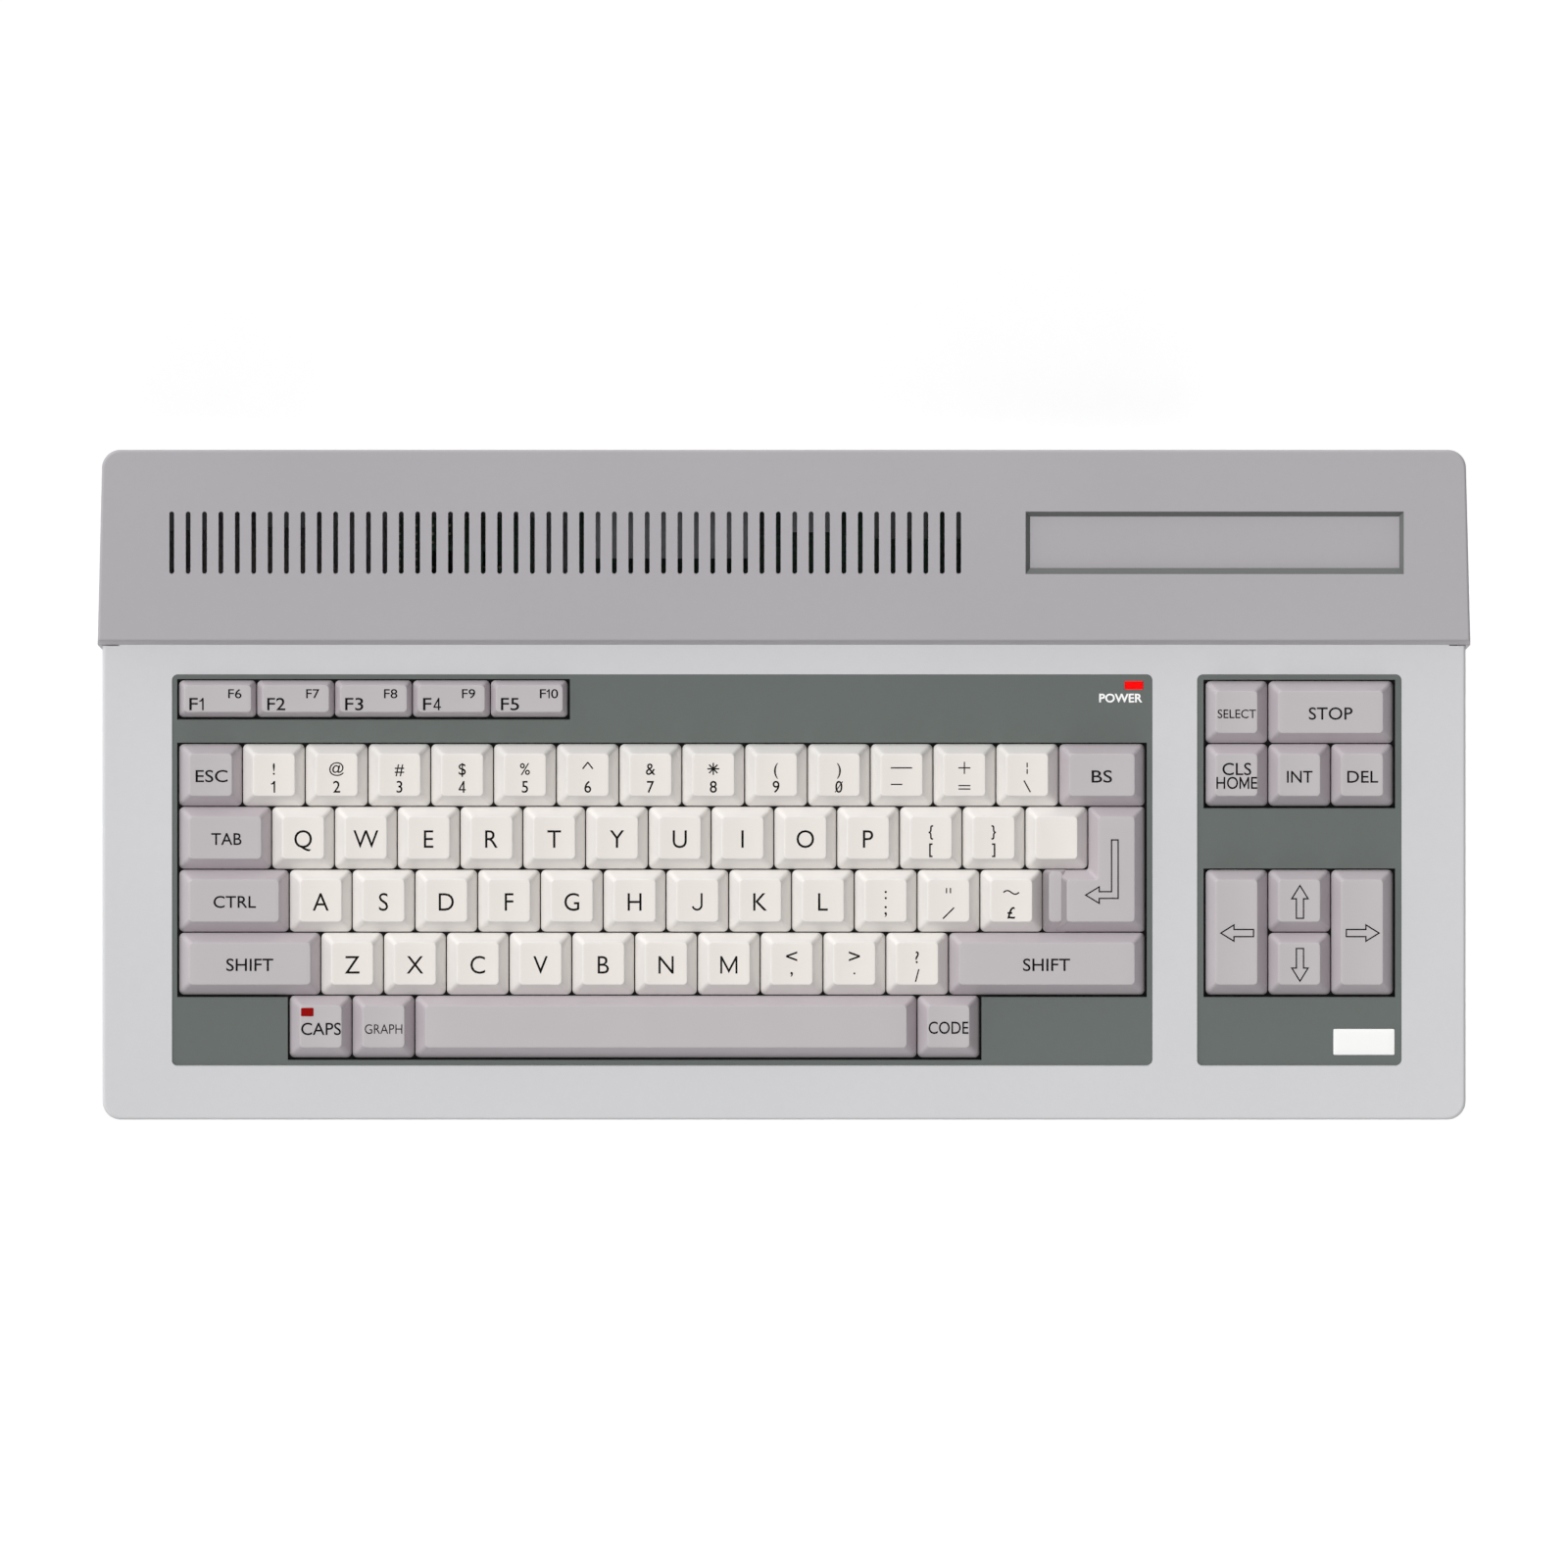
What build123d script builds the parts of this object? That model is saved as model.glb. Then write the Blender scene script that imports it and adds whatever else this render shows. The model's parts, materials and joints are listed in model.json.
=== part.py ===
"""A one-piece home computer: keyboard deck in front, raised hood behind, and what they hold.

Millimetres, +Z up, +X to the typist's right, +Y to the rear. The origin is on the table under
the middle of the case. The keyboard is laid out in the deck's own frame: x, v up the slope and
w out of the deck's top face. The hood's top has a frame of the same kind.
"""
from build123d import *
import math
import os

# --- case: as wide and as deep as its keys, the borders round them and the hood make it ---
left_border = 21.11           # of the deck, beside the main bezel
right_border = 19.45          # beside the side bezel
front_border = 16.25          # in front of both bezels
hood_border = 10.05           # between the bezels and the hood
case_corner_radius = 5.6
wall = 2.5
foot_height = 3.0
front_height = 25.0
deck_slope = 7.0
deck_edge_round = 1.0
case_foot_round = 1.5
side_wall_depth = 12.0        # from the deck's top face down to the seam with the lower case
seam_gap = 0.3

# --- hood ---
hood_depth = 58.1
hood_flare = 1.45             # how far each side of the hood stands out at its front
hood_front_lean = 1.1         # how much further forward the front face is at its foot
hood_step = 15.0              # height of the hood's front face
hood_slope = 4.0
hood_edge_round = 0.8
hood_foot_chamfer = 1.5
lip_depth = 7.0               # of the deck's lip under the hood's front face
lip_clearance = 0.3
vent_pitch = 4.975
vent_width = 1.45
vent_length = 19.0
vent_border = 21.05           # from the case's left side to the first vent
vent_mouth_gap = 20.0         # at least, from the last vent to the cartridge slot

# --- keyboard layout, seen from straight above ---
key_unit = 19.05
key_row_pitch = 19.09
key_gap = 0.3
escape_width = 19.33
backspace_width = 26.28
tab_width = 28.2
control_width = 33.55
shift_width = 43.1
space_bar_units = 8
function_key_width = 23.64
function_key_depth = 11.45
function_row_gap = 7.85       # between the function keys and the digits

# --- keycaps ---
cap_top_inset = 3.1
cap_corner_radius = 1.5
cap_top_corner_radius = 1.2
cap_foot = -3.0               # w of the skirt's lower edge, key up
cap_height = 10.0
cap_wall = 1.3
dish_depth = 0.35
dish_border = 0.5
function_cap_height = 7.2
function_cap_inset = 1.6
return_step_height = 5.6
return_step_inset = 1.9
return_step_width = 7.3
return_riser_inset = 4.05
return_step_tuck = 6.0        # how far the step runs on under the riser
key_travel = 3.8

# --- key mechanism ---
boss_radius = 3.0
boss_bore_radius = 2.05
boss_foot = -1.0
stem_radius = 3.0
stem_pin_radius = 1.95
stem_pin_length = 4.6
stem_flange_radius = 3.9
stem_flange_thickness = 0.8
guide_clearance = 0.08
guide_wall = 1.5
guide_height = 1.2
frame_top = -8.2
frame_thickness = 2.0
frame_margin = 7.0
dome_height = 4.4
dome_foot_radius = 4.6
dome_top_radius = 3.2
dome_skin = 0.7
sheet_thickness = 0.8
board_thickness = 1.6
board_margin = 1.2
peg_radius = 1.5
peg_spacing = 57.15
peg_columns = 7
peg_clearance = 0.3
post_radius = 2.6
post_margin = 4.2             # from the keys' edge to a post's middle
post_clearance = 0.4
front_post_inset = 82.0       # from the main block's ends to the posts before the space bar
rear_post_rows = 0.9          # how many rows behind the digits
front_post_rows = 2.25        # and how many before them

# --- bezels and their windows ---
bezel_left_margin = 2.08      # from the main bezel's edge to its keys
bezel_right_margin = 2.2
bezel_front_margin = 2.095
bezel_rear_margin = 2.055
bezel_spacing = 13.55         # of deck between the two bezels
side_bezel_margin = 2.45
bezel_recess = 1.0
bezel_corner_radius = 1.8
bezel_clearance = 0.15
bezel_plate = 2.0
bezel_rim = 1.2
bezel_flange = 3.0
bezel_flange_thickness = 1.5
key_window_gap = 0.5
led_width = 5.5
led_depth = 2.4
led_side_margin = 2.85        # from the bezel's right edge
led_rear_margin = 2.3
led_proud = 0.2
led_clearance = 0.1
badge_width = 18.6
badge_depth = 7.9
badge_side_margin = 2.1
badge_front_margin = 3.25
badge_thickness = 0.8
badge_proud = 0.25
caps_led_width = 3.9
caps_led_depth = 2.6
caps_led_dx = -4.1
caps_led_dy = 4.4
caps_led_proud = 0.1
caps_led_length = 3.0

# --- space bar wire ---
wire_radius = 0.7
wire_half_span = 52.0
wire_rod_v = 6.0              # from the space bar's centre line
wire_rod_w = -6.6
wire_end_v = -4.6
wire_end_w = -1.7
wire_end_length = 7.0
wire_clearance = 0.15
wire_rod_clearance = 0.06
wire_bend = 1.5
hook_width = 2.4
hook_set = 0.5                # from a wire's end to its hook
hook_wall = 1.0
clip_x = 30.0
clip_width = 3.0

# --- cartridge slot ---
mouth_width = 114.8
mouth_depth = 19.0
mouth_rim_x = 1.35
mouth_rim_y = 1.65
mouth_border = 18.75          # of hood beside the mouth and behind it
bay_wall = 1.6
bay_flange = 2.0
bay_foot_z = 27.0
flap_thickness = 1.6
flap_gap = 0.2
flap_overlap = 0.8
flap_end_gap = 0.5
hinge_pin_radius = 1.0
hinge_barrel_radius = 1.9
hinge_setback = 2.6
hinge_clearance = 0.06
hinge_barrel_length = 40.0
spring_wire_radius = 0.25
spring_turns = 5
spring_pitch = 0.9
spring_clearance = 0.2

# --- main board and what stands on it ---
main_board_gap = 14.0         # between the power board and the main board
main_board_depth = 101.0
main_board_z = 9.0
board_side_gap = 2.35         # between the board and the game ports
board_rear_gap = 1.65         # between the board and the socket panel
board_post_inset = 5.0
board_post_radius = 3.0
board_screw_bite = 2.5
middle_post_x = 130.0         # of the board's middle posts, from its right edge
inner_post_x = 110.0
inner_post_y = 31.0           # of its inner posts, from its rear edge
left_post_y = 35.0
edge_connector_length = 70.0
edge_connector_depth = 9.0
edge_connector_height = 13.0
edge_slot_width = 2.4
edge_slot_depth = 9.0
edge_slot_margin = 4.0
chip_height = 4.0
chip_places = (               # left and front edge from the board's corner, width, depth
    (22.0, 34.0, 52.0, 14.0),
    (22.0, 14.0, 52.0, 14.0),
    (84.0, 54.0, 37.0, 14.0),
    (84.0, 32.0, 37.0, 14.0),
    (134.0, 50.0, 25.0, 7.5),
    (134.0, 38.0, 25.0, 7.5),
    (134.0, 26.0, 25.0, 7.5),
    (134.0, 14.0, 25.0, 7.5),
    (190.0, 54.0, 19.5, 7.5),
    (190.0, 42.0, 19.5, 7.5),
    (190.0, 30.0, 19.5, 7.5),
    (218.0, 54.0, 19.5, 7.5),
    (218.0, 42.0, 19.5, 7.5),
    (218.0, 30.0, 19.5, 7.5),
)
ribbon_width = 32.0
ribbon_thickness = 1.0
ribbon_inset = 32.0           # from the board's left edge to the ribbon's middle
ribbon_run = 21.0
ribbon_end = 7.0
ribbon_bend = 5.0
plug_depth = 6.0
plug_height = 6.0
plug_margin = 1.0             # how much wider than its ribbon a plug is, on each side

# --- mains side ---
transformer_border = 48.85    # from the case's left side to the transformer's middle
transformer_setback = 34.15   # and from the socket panel
transformer_width = 54.0
transformer_height = 32.0
transformer_core = 18.0
winding_bulge = 6.0
winding_side = 9.0            # from the core's sides to the winding
winding_foot = 9.0            # from the floor to the winding
winding_head = 8.0            # from the winding to the core's top
strap_reach = 8.0
strap_thickness = 1.5
strap_set = 3.0               # how much narrower than the core the strap is, on each side
power_board_gap = 3.0         # between the strap and the power board
power_board_setback = 7.65    # between the power board and the socket panel
power_board_width = 44.0
power_board_depth = 46.0
power_stand_height = 3.0
power_stand_radius = 2.5
power_stand_inset = 4.0
capacitor_radii = (7.5, 7.5, 5.0)
capacitor_shape = 2.6         # height of a capacitor in its own radii
capacitor_pitch = 15.0
capacitor_side = 9.0          # from the power board's edges to the first capacitor's middle
capacitor_front = 12.0
sink_base = 2.0
sink_rear = 8.0
fin_count = 6
fin_thickness = 1.2
fin_pitch = 4.0
fin_height = 24.0
fin_depth = 12.0

# --- socket panel and its sockets ---
panel_recess = 10.5
panel_border = 6.85           # from the case's left side to the niche
panel_right_border = 68.85
panel_foot_z = 8.5
panel_head_z = 33.0
socket_z = 20.5
socket_gap = 0.25
inlet_margin = 8.0            # from the niche's left end to the inlet
inlet_width = 20.0
inlet_height = 13.0
inlet_depth = 14.0
inlet_recess = 9.0
inlet_pin_radius = 1.2
inlet_pin_spacing = 8.6
inlet_pin_set = 1.5           # how far inside its mouth a pin ends
inlet_flange = 3.0
inlet_flange_thickness = 2.0
switch_spacing = 13.5         # between the inlet and the rocker
rocker_width = 13.0
rocker_radius = 8.5
rocker_throw = 16.0
rocker_clearance = 0.3
rocker_face = 3.0            # from the pivot to the valley of its front
rocker_proud = 0.4
rocker_back = 2.0
rocker_pin_radius = 1.2
rocker_pin_length = 1.2
rocker_pin_play = 0.3
switch_wall = 2.0
switch_flange = 1.5
modulator_width = 50.0
modulator_depth = 20.0
modulator_gap = 10.0          # between the modulator and the audio socket's block
phono_radius = 4.15
phono_bore_radius = 1.7
phono_length = 9.0
phono_shoulder_radius = 4.9
phono_reach = 12.0            # from the modulator's middle to each of its phonos
audio_width = 14.0
audio_depth = 12.0
audio_head = 8.0              # from the socket's middle to the block's top
audio_gap = 9.5               # between the block and the first round socket
din_size = 19.0
din_depth = 14.0
din_gap = 5.0
din_collar_radius = 7.25
din_bore_radius = 6.6
din_recess = 7.0
printer_gap = 1.5             # between the second round socket and the printer's
printer_margin = 7.0          # from the printer's socket to the niche's right end
printer_width = 62.0
printer_height = 12.0
printer_depth = 9.0
printer_proud = 4.0
printer_wall = 1.6
printer_tongue = 2.6
printer_well = 9.0
tongue_margin = 4.0
tongue_set = 1.0
joystick_setback = 57.65      # from the case's rear to the second game port's middle
joystick_pitch = 42.0
joystick_z = 16.5
joystick_width = 17.0
joystick_height = 8.4
joystick_depth = 12.0
joystick_recess = 6.0
joystick_wall = 0.8
joystick_flange = 31.0
joystick_flange_thickness = 1.2
joystick_flange_height = 2.0
joystick_shoulder = 1.0
joystick_pin_radius = 0.5
joystick_pin_pitch = 2.77
joystick_pin_row = 1.42       # from the middle to each row of pins
joystick_pin_set = 1.0

# --- fasteners, feet and floor slots ---
screw_radius = 1.5
screw_clearance = 0.1
screw_head_radius = 2.8
screw_head_height = 2.0
screw_bite = 6.0
screw_seat = 3.0
column_radius = 4.4
column_front_inset = 4.8      # from the case's front wall to its columns
column_side_inset = 9.0
column_setback = 10.65        # from the socket panel to the rear columns
column_spread = 56.85         # from the case's sides to the outer front columns
column_vent_gap = 2.0         # from the vents' front ends to the middle rear column
front_split = 10.0            # how far below the front edge a front column meets its boss
rear_split_z = 22.0
boss_clearance = 0.5
boss_sink = 0.2
pilot_spare = 0.5
foot_radius = 8.0
foot_recess = 1.0
foot_clearance = 0.15
foot_inset_x = 26.0
foot_inset_y = 22.0
floor_slot_count = 13
floor_slot_pitch = 6.0
floor_slot_width = 2.2
floor_slot_length = 34.0
floor_slot_side = 12.0        # from the transformer's middle to the slots' middle
floor_slot_front = 47.0

# --- the plan: everything from the left to the right, and from the front to the rear ---
key_block_width = escape_width + 13 * key_unit + backspace_width
main_bezel_width = bezel_left_margin + key_block_width + bezel_right_margin
side_bezel_width = 3 * key_unit + 2 * side_bezel_margin
case_width = left_border + main_bezel_width + bezel_spacing + side_bezel_width + right_border
key_rows_depth = 5 * key_row_pitch + function_row_gap + function_key_depth
bezel_depth = bezel_front_margin + key_rows_depth + bezel_rear_margin
case_depth = front_border + bezel_depth + hood_border + hood_depth
half_width = case_width / 2
half_depth = case_depth / 2
bezel_left = -half_width + left_border
bezel_right = bezel_left + main_bezel_width
side_bezel_left = bezel_right + bezel_spacing
side_bezel_right = side_bezel_left + side_bezel_width
key_block_left = bezel_left + bezel_left_margin
side_block_left = side_bezel_left + side_bezel_margin
bezel_front_y = -half_depth + front_border
bezel_rear_y = bezel_front_y + bezel_depth
bottom_row_y = bezel_front_y + bezel_front_margin + key_row_pitch / 2
number_row_y = bottom_row_y + 4 * key_row_pitch
function_row_y = number_row_y + key_row_pitch / 2 + function_row_gap + function_key_depth / 2
hood_front_y = bezel_rear_y + hood_border
led_x = bezel_right - led_side_margin - led_width / 2
led_y = bezel_rear_y - led_rear_margin - led_depth / 2
badge_x = side_bezel_right - badge_side_margin - badge_width / 2
badge_y = bezel_front_y + badge_front_margin + badge_depth / 2
mouth_x = half_width - mouth_border - mouth_width / 2
mouth_y = half_depth - mouth_border - mouth_depth / 2
vent_left_x = -half_width + vent_border
vent_room = mouth_x - mouth_width / 2 - vent_mouth_gap - vent_left_x
vent_count = int(vent_room / vent_pitch) + 1

# --- slopes ---
big = 300.0
deck_tan = math.tan(math.radians(deck_slope))
deck_sin = math.sin(math.radians(deck_slope))
deck_cos = math.cos(math.radians(deck_slope))
hood_tan = math.tan(math.radians(hood_slope))
hood_sin = math.sin(math.radians(hood_slope))
hood_cos = math.cos(math.radians(hood_slope))
deck_mid_y = (hood_front_y - half_depth) / 2
deck_mid_z = front_height + (deck_mid_y + half_depth) * deck_tan
deck = Plane((0, deck_mid_y, deck_mid_z), x_dir=(1, 0, 0), z_dir=(0, -deck_sin, deck_cos))
hood_top_z = front_height + (hood_front_y + half_depth) * deck_tan + hood_step
hood = Plane((0, hood_front_y, hood_top_z), x_dir=(1, 0, 0), z_dir=(0, -hood_sin, hood_cos))

floor_z = foot_height + wall
board_top_z = main_board_z + board_thickness
socket_head_z = 2 * socket_z - board_top_z
panel_y = half_depth - panel_recess
panel_left = -half_width + panel_border
panel_right = half_width - panel_right_border
inlet_x = panel_left + inlet_margin + inlet_width / 2
switch_x = inlet_x + inlet_width / 2 + switch_spacing + rocker_width / 2
printer_x = panel_right - printer_margin - printer_width / 2
second_din_x = printer_x - printer_width / 2 - printer_gap - din_size / 2
first_din_x = second_din_x - din_size - din_gap
din_xs = (first_din_x, second_din_x)
audio_x = first_din_x - din_size / 2 - audio_gap - audio_width / 2
modulator_x = audio_x - audio_width / 2 - modulator_gap - modulator_width / 2
phono_xs = (modulator_x - phono_reach, modulator_x + phono_reach)
joystick_rear_y = half_depth - joystick_setback
joystick_ys = (joystick_rear_y - joystick_pitch, joystick_rear_y)
transformer_x = -half_width + transformer_border
transformer_y = panel_y - transformer_setback
strap_half_width = transformer_width / 2 + strap_reach
power_board_x = transformer_x + strap_half_width + power_board_gap + power_board_width / 2
power_board_y = panel_y - wall - power_board_setback - power_board_depth / 2
main_board_left = power_board_x + power_board_width / 2 + main_board_gap
main_board_width = half_width - wall - joystick_depth - board_side_gap - main_board_left
main_board_right = main_board_left + main_board_width
main_board_rear = panel_y - wall - board_rear_gap
main_board_front = main_board_rear - main_board_depth
ribbon_x = main_board_left + ribbon_inset
key_block_right = key_block_left + key_block_width
side_block_right = side_block_left + 3 * key_unit
key_depth = key_row_pitch / deck_cos
guide_bore_radius = stem_radius + guide_clearance
guide_radius = guide_bore_radius + guide_wall
frame_foot = frame_top - frame_thickness
stem_foot = frame_foot - stem_flange_thickness
sheet_top = stem_foot - dome_height
key_board_top = sheet_top - sheet_thickness
key_board_foot = key_board_top - board_thickness
return_stem_x = key_block_right - key_unit
wire_arm = math.hypot(wire_rod_v - wire_end_v, wire_end_w - wire_rod_w)
wire_pressed_w = wire_end_w - key_travel
wire_pressed_v = wire_rod_v - math.sqrt(wire_arm**2 - (wire_pressed_w - wire_rod_w) ** 2)
mouth_half_x = mouth_width / 2 - mouth_rim_x
mouth_half_y = mouth_depth / 2 - mouth_rim_y
flap_front_y = mouth_y - mouth_half_y - flap_overlap
hinge_y = mouth_y + mouth_half_y + hinge_setback
hinge_drop = wall + flap_gap + hinge_barrel_radius
bay_left = mouth_x - mouth_half_x - flap_overlap - flap_end_gap
bay_right = 2 * mouth_x - bay_left
bay_front = flap_front_y - flap_end_gap
bay_rear = hinge_y + hinge_barrel_radius + flap_end_gap


def block(x0, x1, y0, y1, z0, z1):
    """A box from its two corners."""
    return Pos((x0 + x1) / 2, (y0 + y1) / 2, (z0 + z1) / 2) * Box(x1 - x0, y1 - y0, z1 - z0)


def rounded_block(x0, x1, y0, y1, z0, z1, radius):
    """A box whose upright edges are rounded."""
    face = RectangleRounded(x1 - x0, y1 - y0, radius)
    return Pos((x0 + x1) / 2, (y0 + y1) / 2, z0) * extrude(face, z1 - z0)


def peg(x, y, z0, z1, radius):
    """An upright cylinder."""
    return Pos(x, y, (z0 + z1) / 2) * Cylinder(radius, z1 - z0)


def peg_x(y, z, x0, x1, radius):
    """A cylinder along X."""
    return Pos((x0 + x1) / 2, y, z) * Rot(0, 90, 0) * Cylinder(radius, x1 - x0)


def peg_y(x, z, y0, y1, radius):
    """A cylinder along Y."""
    return Pos(x, (y0 + y1) / 2, z) * Rot(90, 0, 0) * Cylinder(radius, y1 - y0)


def deck_v(y):
    """Distance up the slope of the deck for a place seen from above."""
    return (y - deck_mid_y) / deck_cos


def hood_v(y):
    """The same on the hood's top."""
    return (y - hood_front_y) / hood_cos


def hood_z(y):
    """Height of the hood's top face."""
    return hood_top_z + (y - hood_front_y) * hood_tan


def above_deck(w):
    return deck.location * block(-big, big, -big, big, w, w + big)


def below_deck(w):
    return deck.location * block(-big, big, -big, big, w - big, w)


def below_hood(w):
    return hood.location * block(-big, big, -big, big, w - big, w)


def case_prism(inset, z0, z1):
    """An upright prism on the plan of the case, set in on every side."""
    radius = max(case_corner_radius - inset, 1.0)
    x = half_width - inset
    y = half_depth - inset
    return rounded_block(-x, x, -y, y, z0, z1, radius)


def hood_prism(inset):
    """An upright prism on the flared plan of the hood, set in on every side."""
    rear_x = half_width - inset
    front_x = rear_x + hood_flare
    front_y = hood_front_y - hood_front_lean
    rear_y = half_depth - inset
    corners = [(-rear_x, rear_y), (-front_x, front_y), (front_x, front_y), (rear_x, rear_y)]
    face = make_face(Polyline(*corners, close=True))
    radius = max(case_corner_radius - inset, 1.0)
    face = fillet(face.vertices().sort_by(Axis.Y)[-2:], radius)
    return extrude(face, 2 * hood_top_z)


def screw(x, y, seat_z):
    """A pan-head screw from below: its head's seat is at seat_z."""
    head = peg(x, y, seat_z - screw_head_height, seat_z, screw_head_radius)
    return head + peg(x, y, seat_z, seat_z + screw_seat + screw_bite, screw_radius)


# --- where things stand ---
column_front_y = -half_depth + wall + column_front_inset
column_rear_y = panel_y - wall - column_setback
column_middle_y = mouth_y - vent_length / 2 - column_vent_gap - column_radius
column_side_x = half_width - column_side_inset
column_places = (
    (-half_width + column_spread, column_front_y, False),
    (0.0, column_front_y, False),
    (half_width - column_spread, column_front_y, False),
    (-column_side_x, column_rear_y, True),
    (column_side_x, column_rear_y, True),
    (main_board_left - main_board_gap / 2, column_middle_y, True),
)
post_left_x = key_block_left - post_margin
post_middle_x = (key_block_right + side_block_left) / 2
post_right_x = side_block_right + post_margin
post_front_v = deck_v(number_row_y - front_post_rows * key_row_pitch)
post_rear_v = deck_v(number_row_y + rear_post_rows * key_row_pitch)
post_foremost_v = deck_v(bottom_row_y - key_row_pitch / 2 - post_margin)
post_places = (
    (post_left_x, post_front_v),
    (post_left_x, post_rear_v),
    (post_middle_x, post_front_v),
    (post_middle_x, post_rear_v),
    (post_right_x, post_front_v),
    (post_right_x, post_rear_v),
    (key_block_left + front_post_inset, post_foremost_v),
    (key_block_right - front_post_inset, post_foremost_v),
)
board_post_left = main_board_left + board_post_inset
board_post_right = main_board_right - board_post_inset
board_post_front = main_board_front + board_post_inset
board_post_places = (
    (board_post_left, board_post_front),
    (main_board_right - middle_post_x, board_post_front),
    (board_post_right, board_post_front),
    (board_post_left, main_board_rear - left_post_y),
    (main_board_right - inner_post_x, main_board_rear - inner_post_y),
    (board_post_right, main_board_rear - board_post_inset),
)


# --- case ---
def column_split_z(rear):
    """Height at which a column meets its boss."""
    return rear_split_z if rear else front_height - front_split


def lower_case():
    edge = below_deck(-side_wall_depth - seam_gap)
    outer = case_prism(0, foot_height, big)
    outer = fillet(outer.faces().sort_by(Axis.Z)[0].edges(), case_foot_round)
    cavity = case_prism(wall, floor_z, big)
    niche = block(panel_left, panel_right, panel_y, half_depth + 1, panel_foot_z, panel_head_z)
    niche_wall = block(
        panel_left - wall, panel_right + wall, panel_y - wall, half_depth, floor_z, panel_head_z + wall
    )
    shell = (outer & edge) - (cavity - niche_wall) - niche
    columns = []
    holes = []
    for x, y, rear in column_places:
        split = column_split_z(rear)
        columns.append(peg(x, y, foot_height, split, column_radius))
        holes.append(peg(x, y, foot_height - 1, split - screw_seat, screw_head_radius + screw_clearance))
        holes.append(peg(x, y, foot_height - 1, split + 1, screw_radius + screw_clearance))
    for x, v in post_places:
        post = deck.location * peg(x, v, -big / 2, frame_foot, post_radius)
        columns.append(post & block(-big, big, -big, big, floor_z - wall / 2, big))
        depth = frame_foot - screw_bite - 1
        holes.append(deck.location * peg(x, v, depth, frame_foot + 1, screw_radius + screw_clearance))
    for x, y in board_post_places:
        columns.append(peg(x, y, floor_z - wall / 2, main_board_z, board_post_radius))
        holes.append(peg(x, y, floor_z, main_board_z + 1, screw_radius + screw_clearance))
    shell = shell + columns
    for x in (-half_width + foot_inset_x, half_width - foot_inset_x):
        for y in (-half_depth + foot_inset_y, half_depth - foot_inset_y):
            holes.append(peg(x, y, foot_height - 1, foot_height + foot_recess, foot_radius + foot_clearance))
    for i in range(floor_slot_count):
        x = transformer_x + floor_slot_side + (i - (floor_slot_count - 1) / 2) * floor_slot_pitch
        slot = Rot(0, 0, 90) * SlotOverall(floor_slot_length, floor_slot_width)
        place = Pos(x, transformer_y - floor_slot_front, foot_height - 1)
        holes.append(place * extrude(slot, wall + 2))
    return shell - holes - panel_openings()


def panel_openings():
    """Holes for the sockets in the rear panel and in the right-hand wall."""
    y0 = panel_y - wall - 1
    y1 = panel_y + 1
    cuts = [
        rear_window(inlet_x, inlet_width / 2, inlet_height / 2, y0, y1),
        rear_window(switch_x, rocker_width / 2 + switch_wall, rocker_radius + switch_wall, y0, y1),
        rear_window(printer_x, printer_width / 2, printer_height / 2, y0, y1),
    ]
    for x in phono_xs + (audio_x,):
        cuts.append(peg_y(x, socket_z, y0, y1, phono_shoulder_radius + socket_gap))
    for x in din_xs:
        cuts.append(peg_y(x, socket_z, y0, y1, din_collar_radius + socket_gap))
    reach_y = joystick_width / 2 + socket_gap
    reach_z = joystick_height / 2 + socket_gap
    x0 = half_width - wall - 1
    x1 = half_width + 1
    for y in joystick_ys:
        cuts.append(block(x0, x1, y - reach_y, y + reach_y, joystick_z - reach_z, joystick_z + reach_z))
    return cuts


def rear_window(x, reach_x, reach_z, y0, y1):
    """A rectangular hole through the rear panel for a body with these half sizes."""
    x_reach = reach_x + socket_gap
    z_reach = reach_z + socket_gap
    return block(x - x_reach, x + x_reach, y0, y1, socket_z - z_reach, socket_z + z_reach)


def front_deck():
    front_part = block(-big, big, -big, hood_front_y - hood_front_lean - lip_clearance, 0, big)
    outer = case_prism(0, 0, big) & below_deck(0) & above_deck(-side_wall_depth) & front_part
    top = outer.faces().sort_by(Axis((0, 0, 0), deck.z_dir))[-1]
    outer = fillet(top.edges().sort_by(Axis.Y)[:-1], deck_edge_round)
    shell = outer - (case_prism(wall, 0, big) & below_deck(-wall))
    lip_x = half_width - 2 * wall
    lip = block(-lip_x, lip_x, 0, hood_front_y + lip_depth, 0, big)
    shell = shell + (lip & below_deck(0) & above_deck(-wall))
    windows = [
        bezel_block(bezel_left, bezel_right, -wall - 1, 1, bezel_corner_radius),
        bezel_block(side_bezel_left, side_bezel_right, -wall - 1, 1, bezel_corner_radius),
    ]
    shell = shell - [deck.location * window for window in windows]
    room = case_prism(boss_clearance, 0, big) & below_deck(-wall + boss_sink)
    return with_bosses(shell, room, False)


def with_bosses(shell, room, rear):
    """An upper shell with the bosses that its case screws bite into."""
    for x, y, at_rear in column_places:
        if at_rear == rear:
            split = column_split_z(rear)
            boss = peg(x, y, split, big, column_radius) & room
            depth = split + screw_bite + pilot_spare
            pilot = peg(x, y, split - 1, depth, screw_radius + screw_clearance)
            shell = shell + boss - pilot
    return shell


def bezel_block(x0, x1, w0, w1, radius):
    """A rounded block over one bezel's opening, in the deck's frame."""
    return rounded_block(x0, x1, deck_v(bezel_front_y), deck_v(bezel_rear_y), w0, w1, radius)


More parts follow.
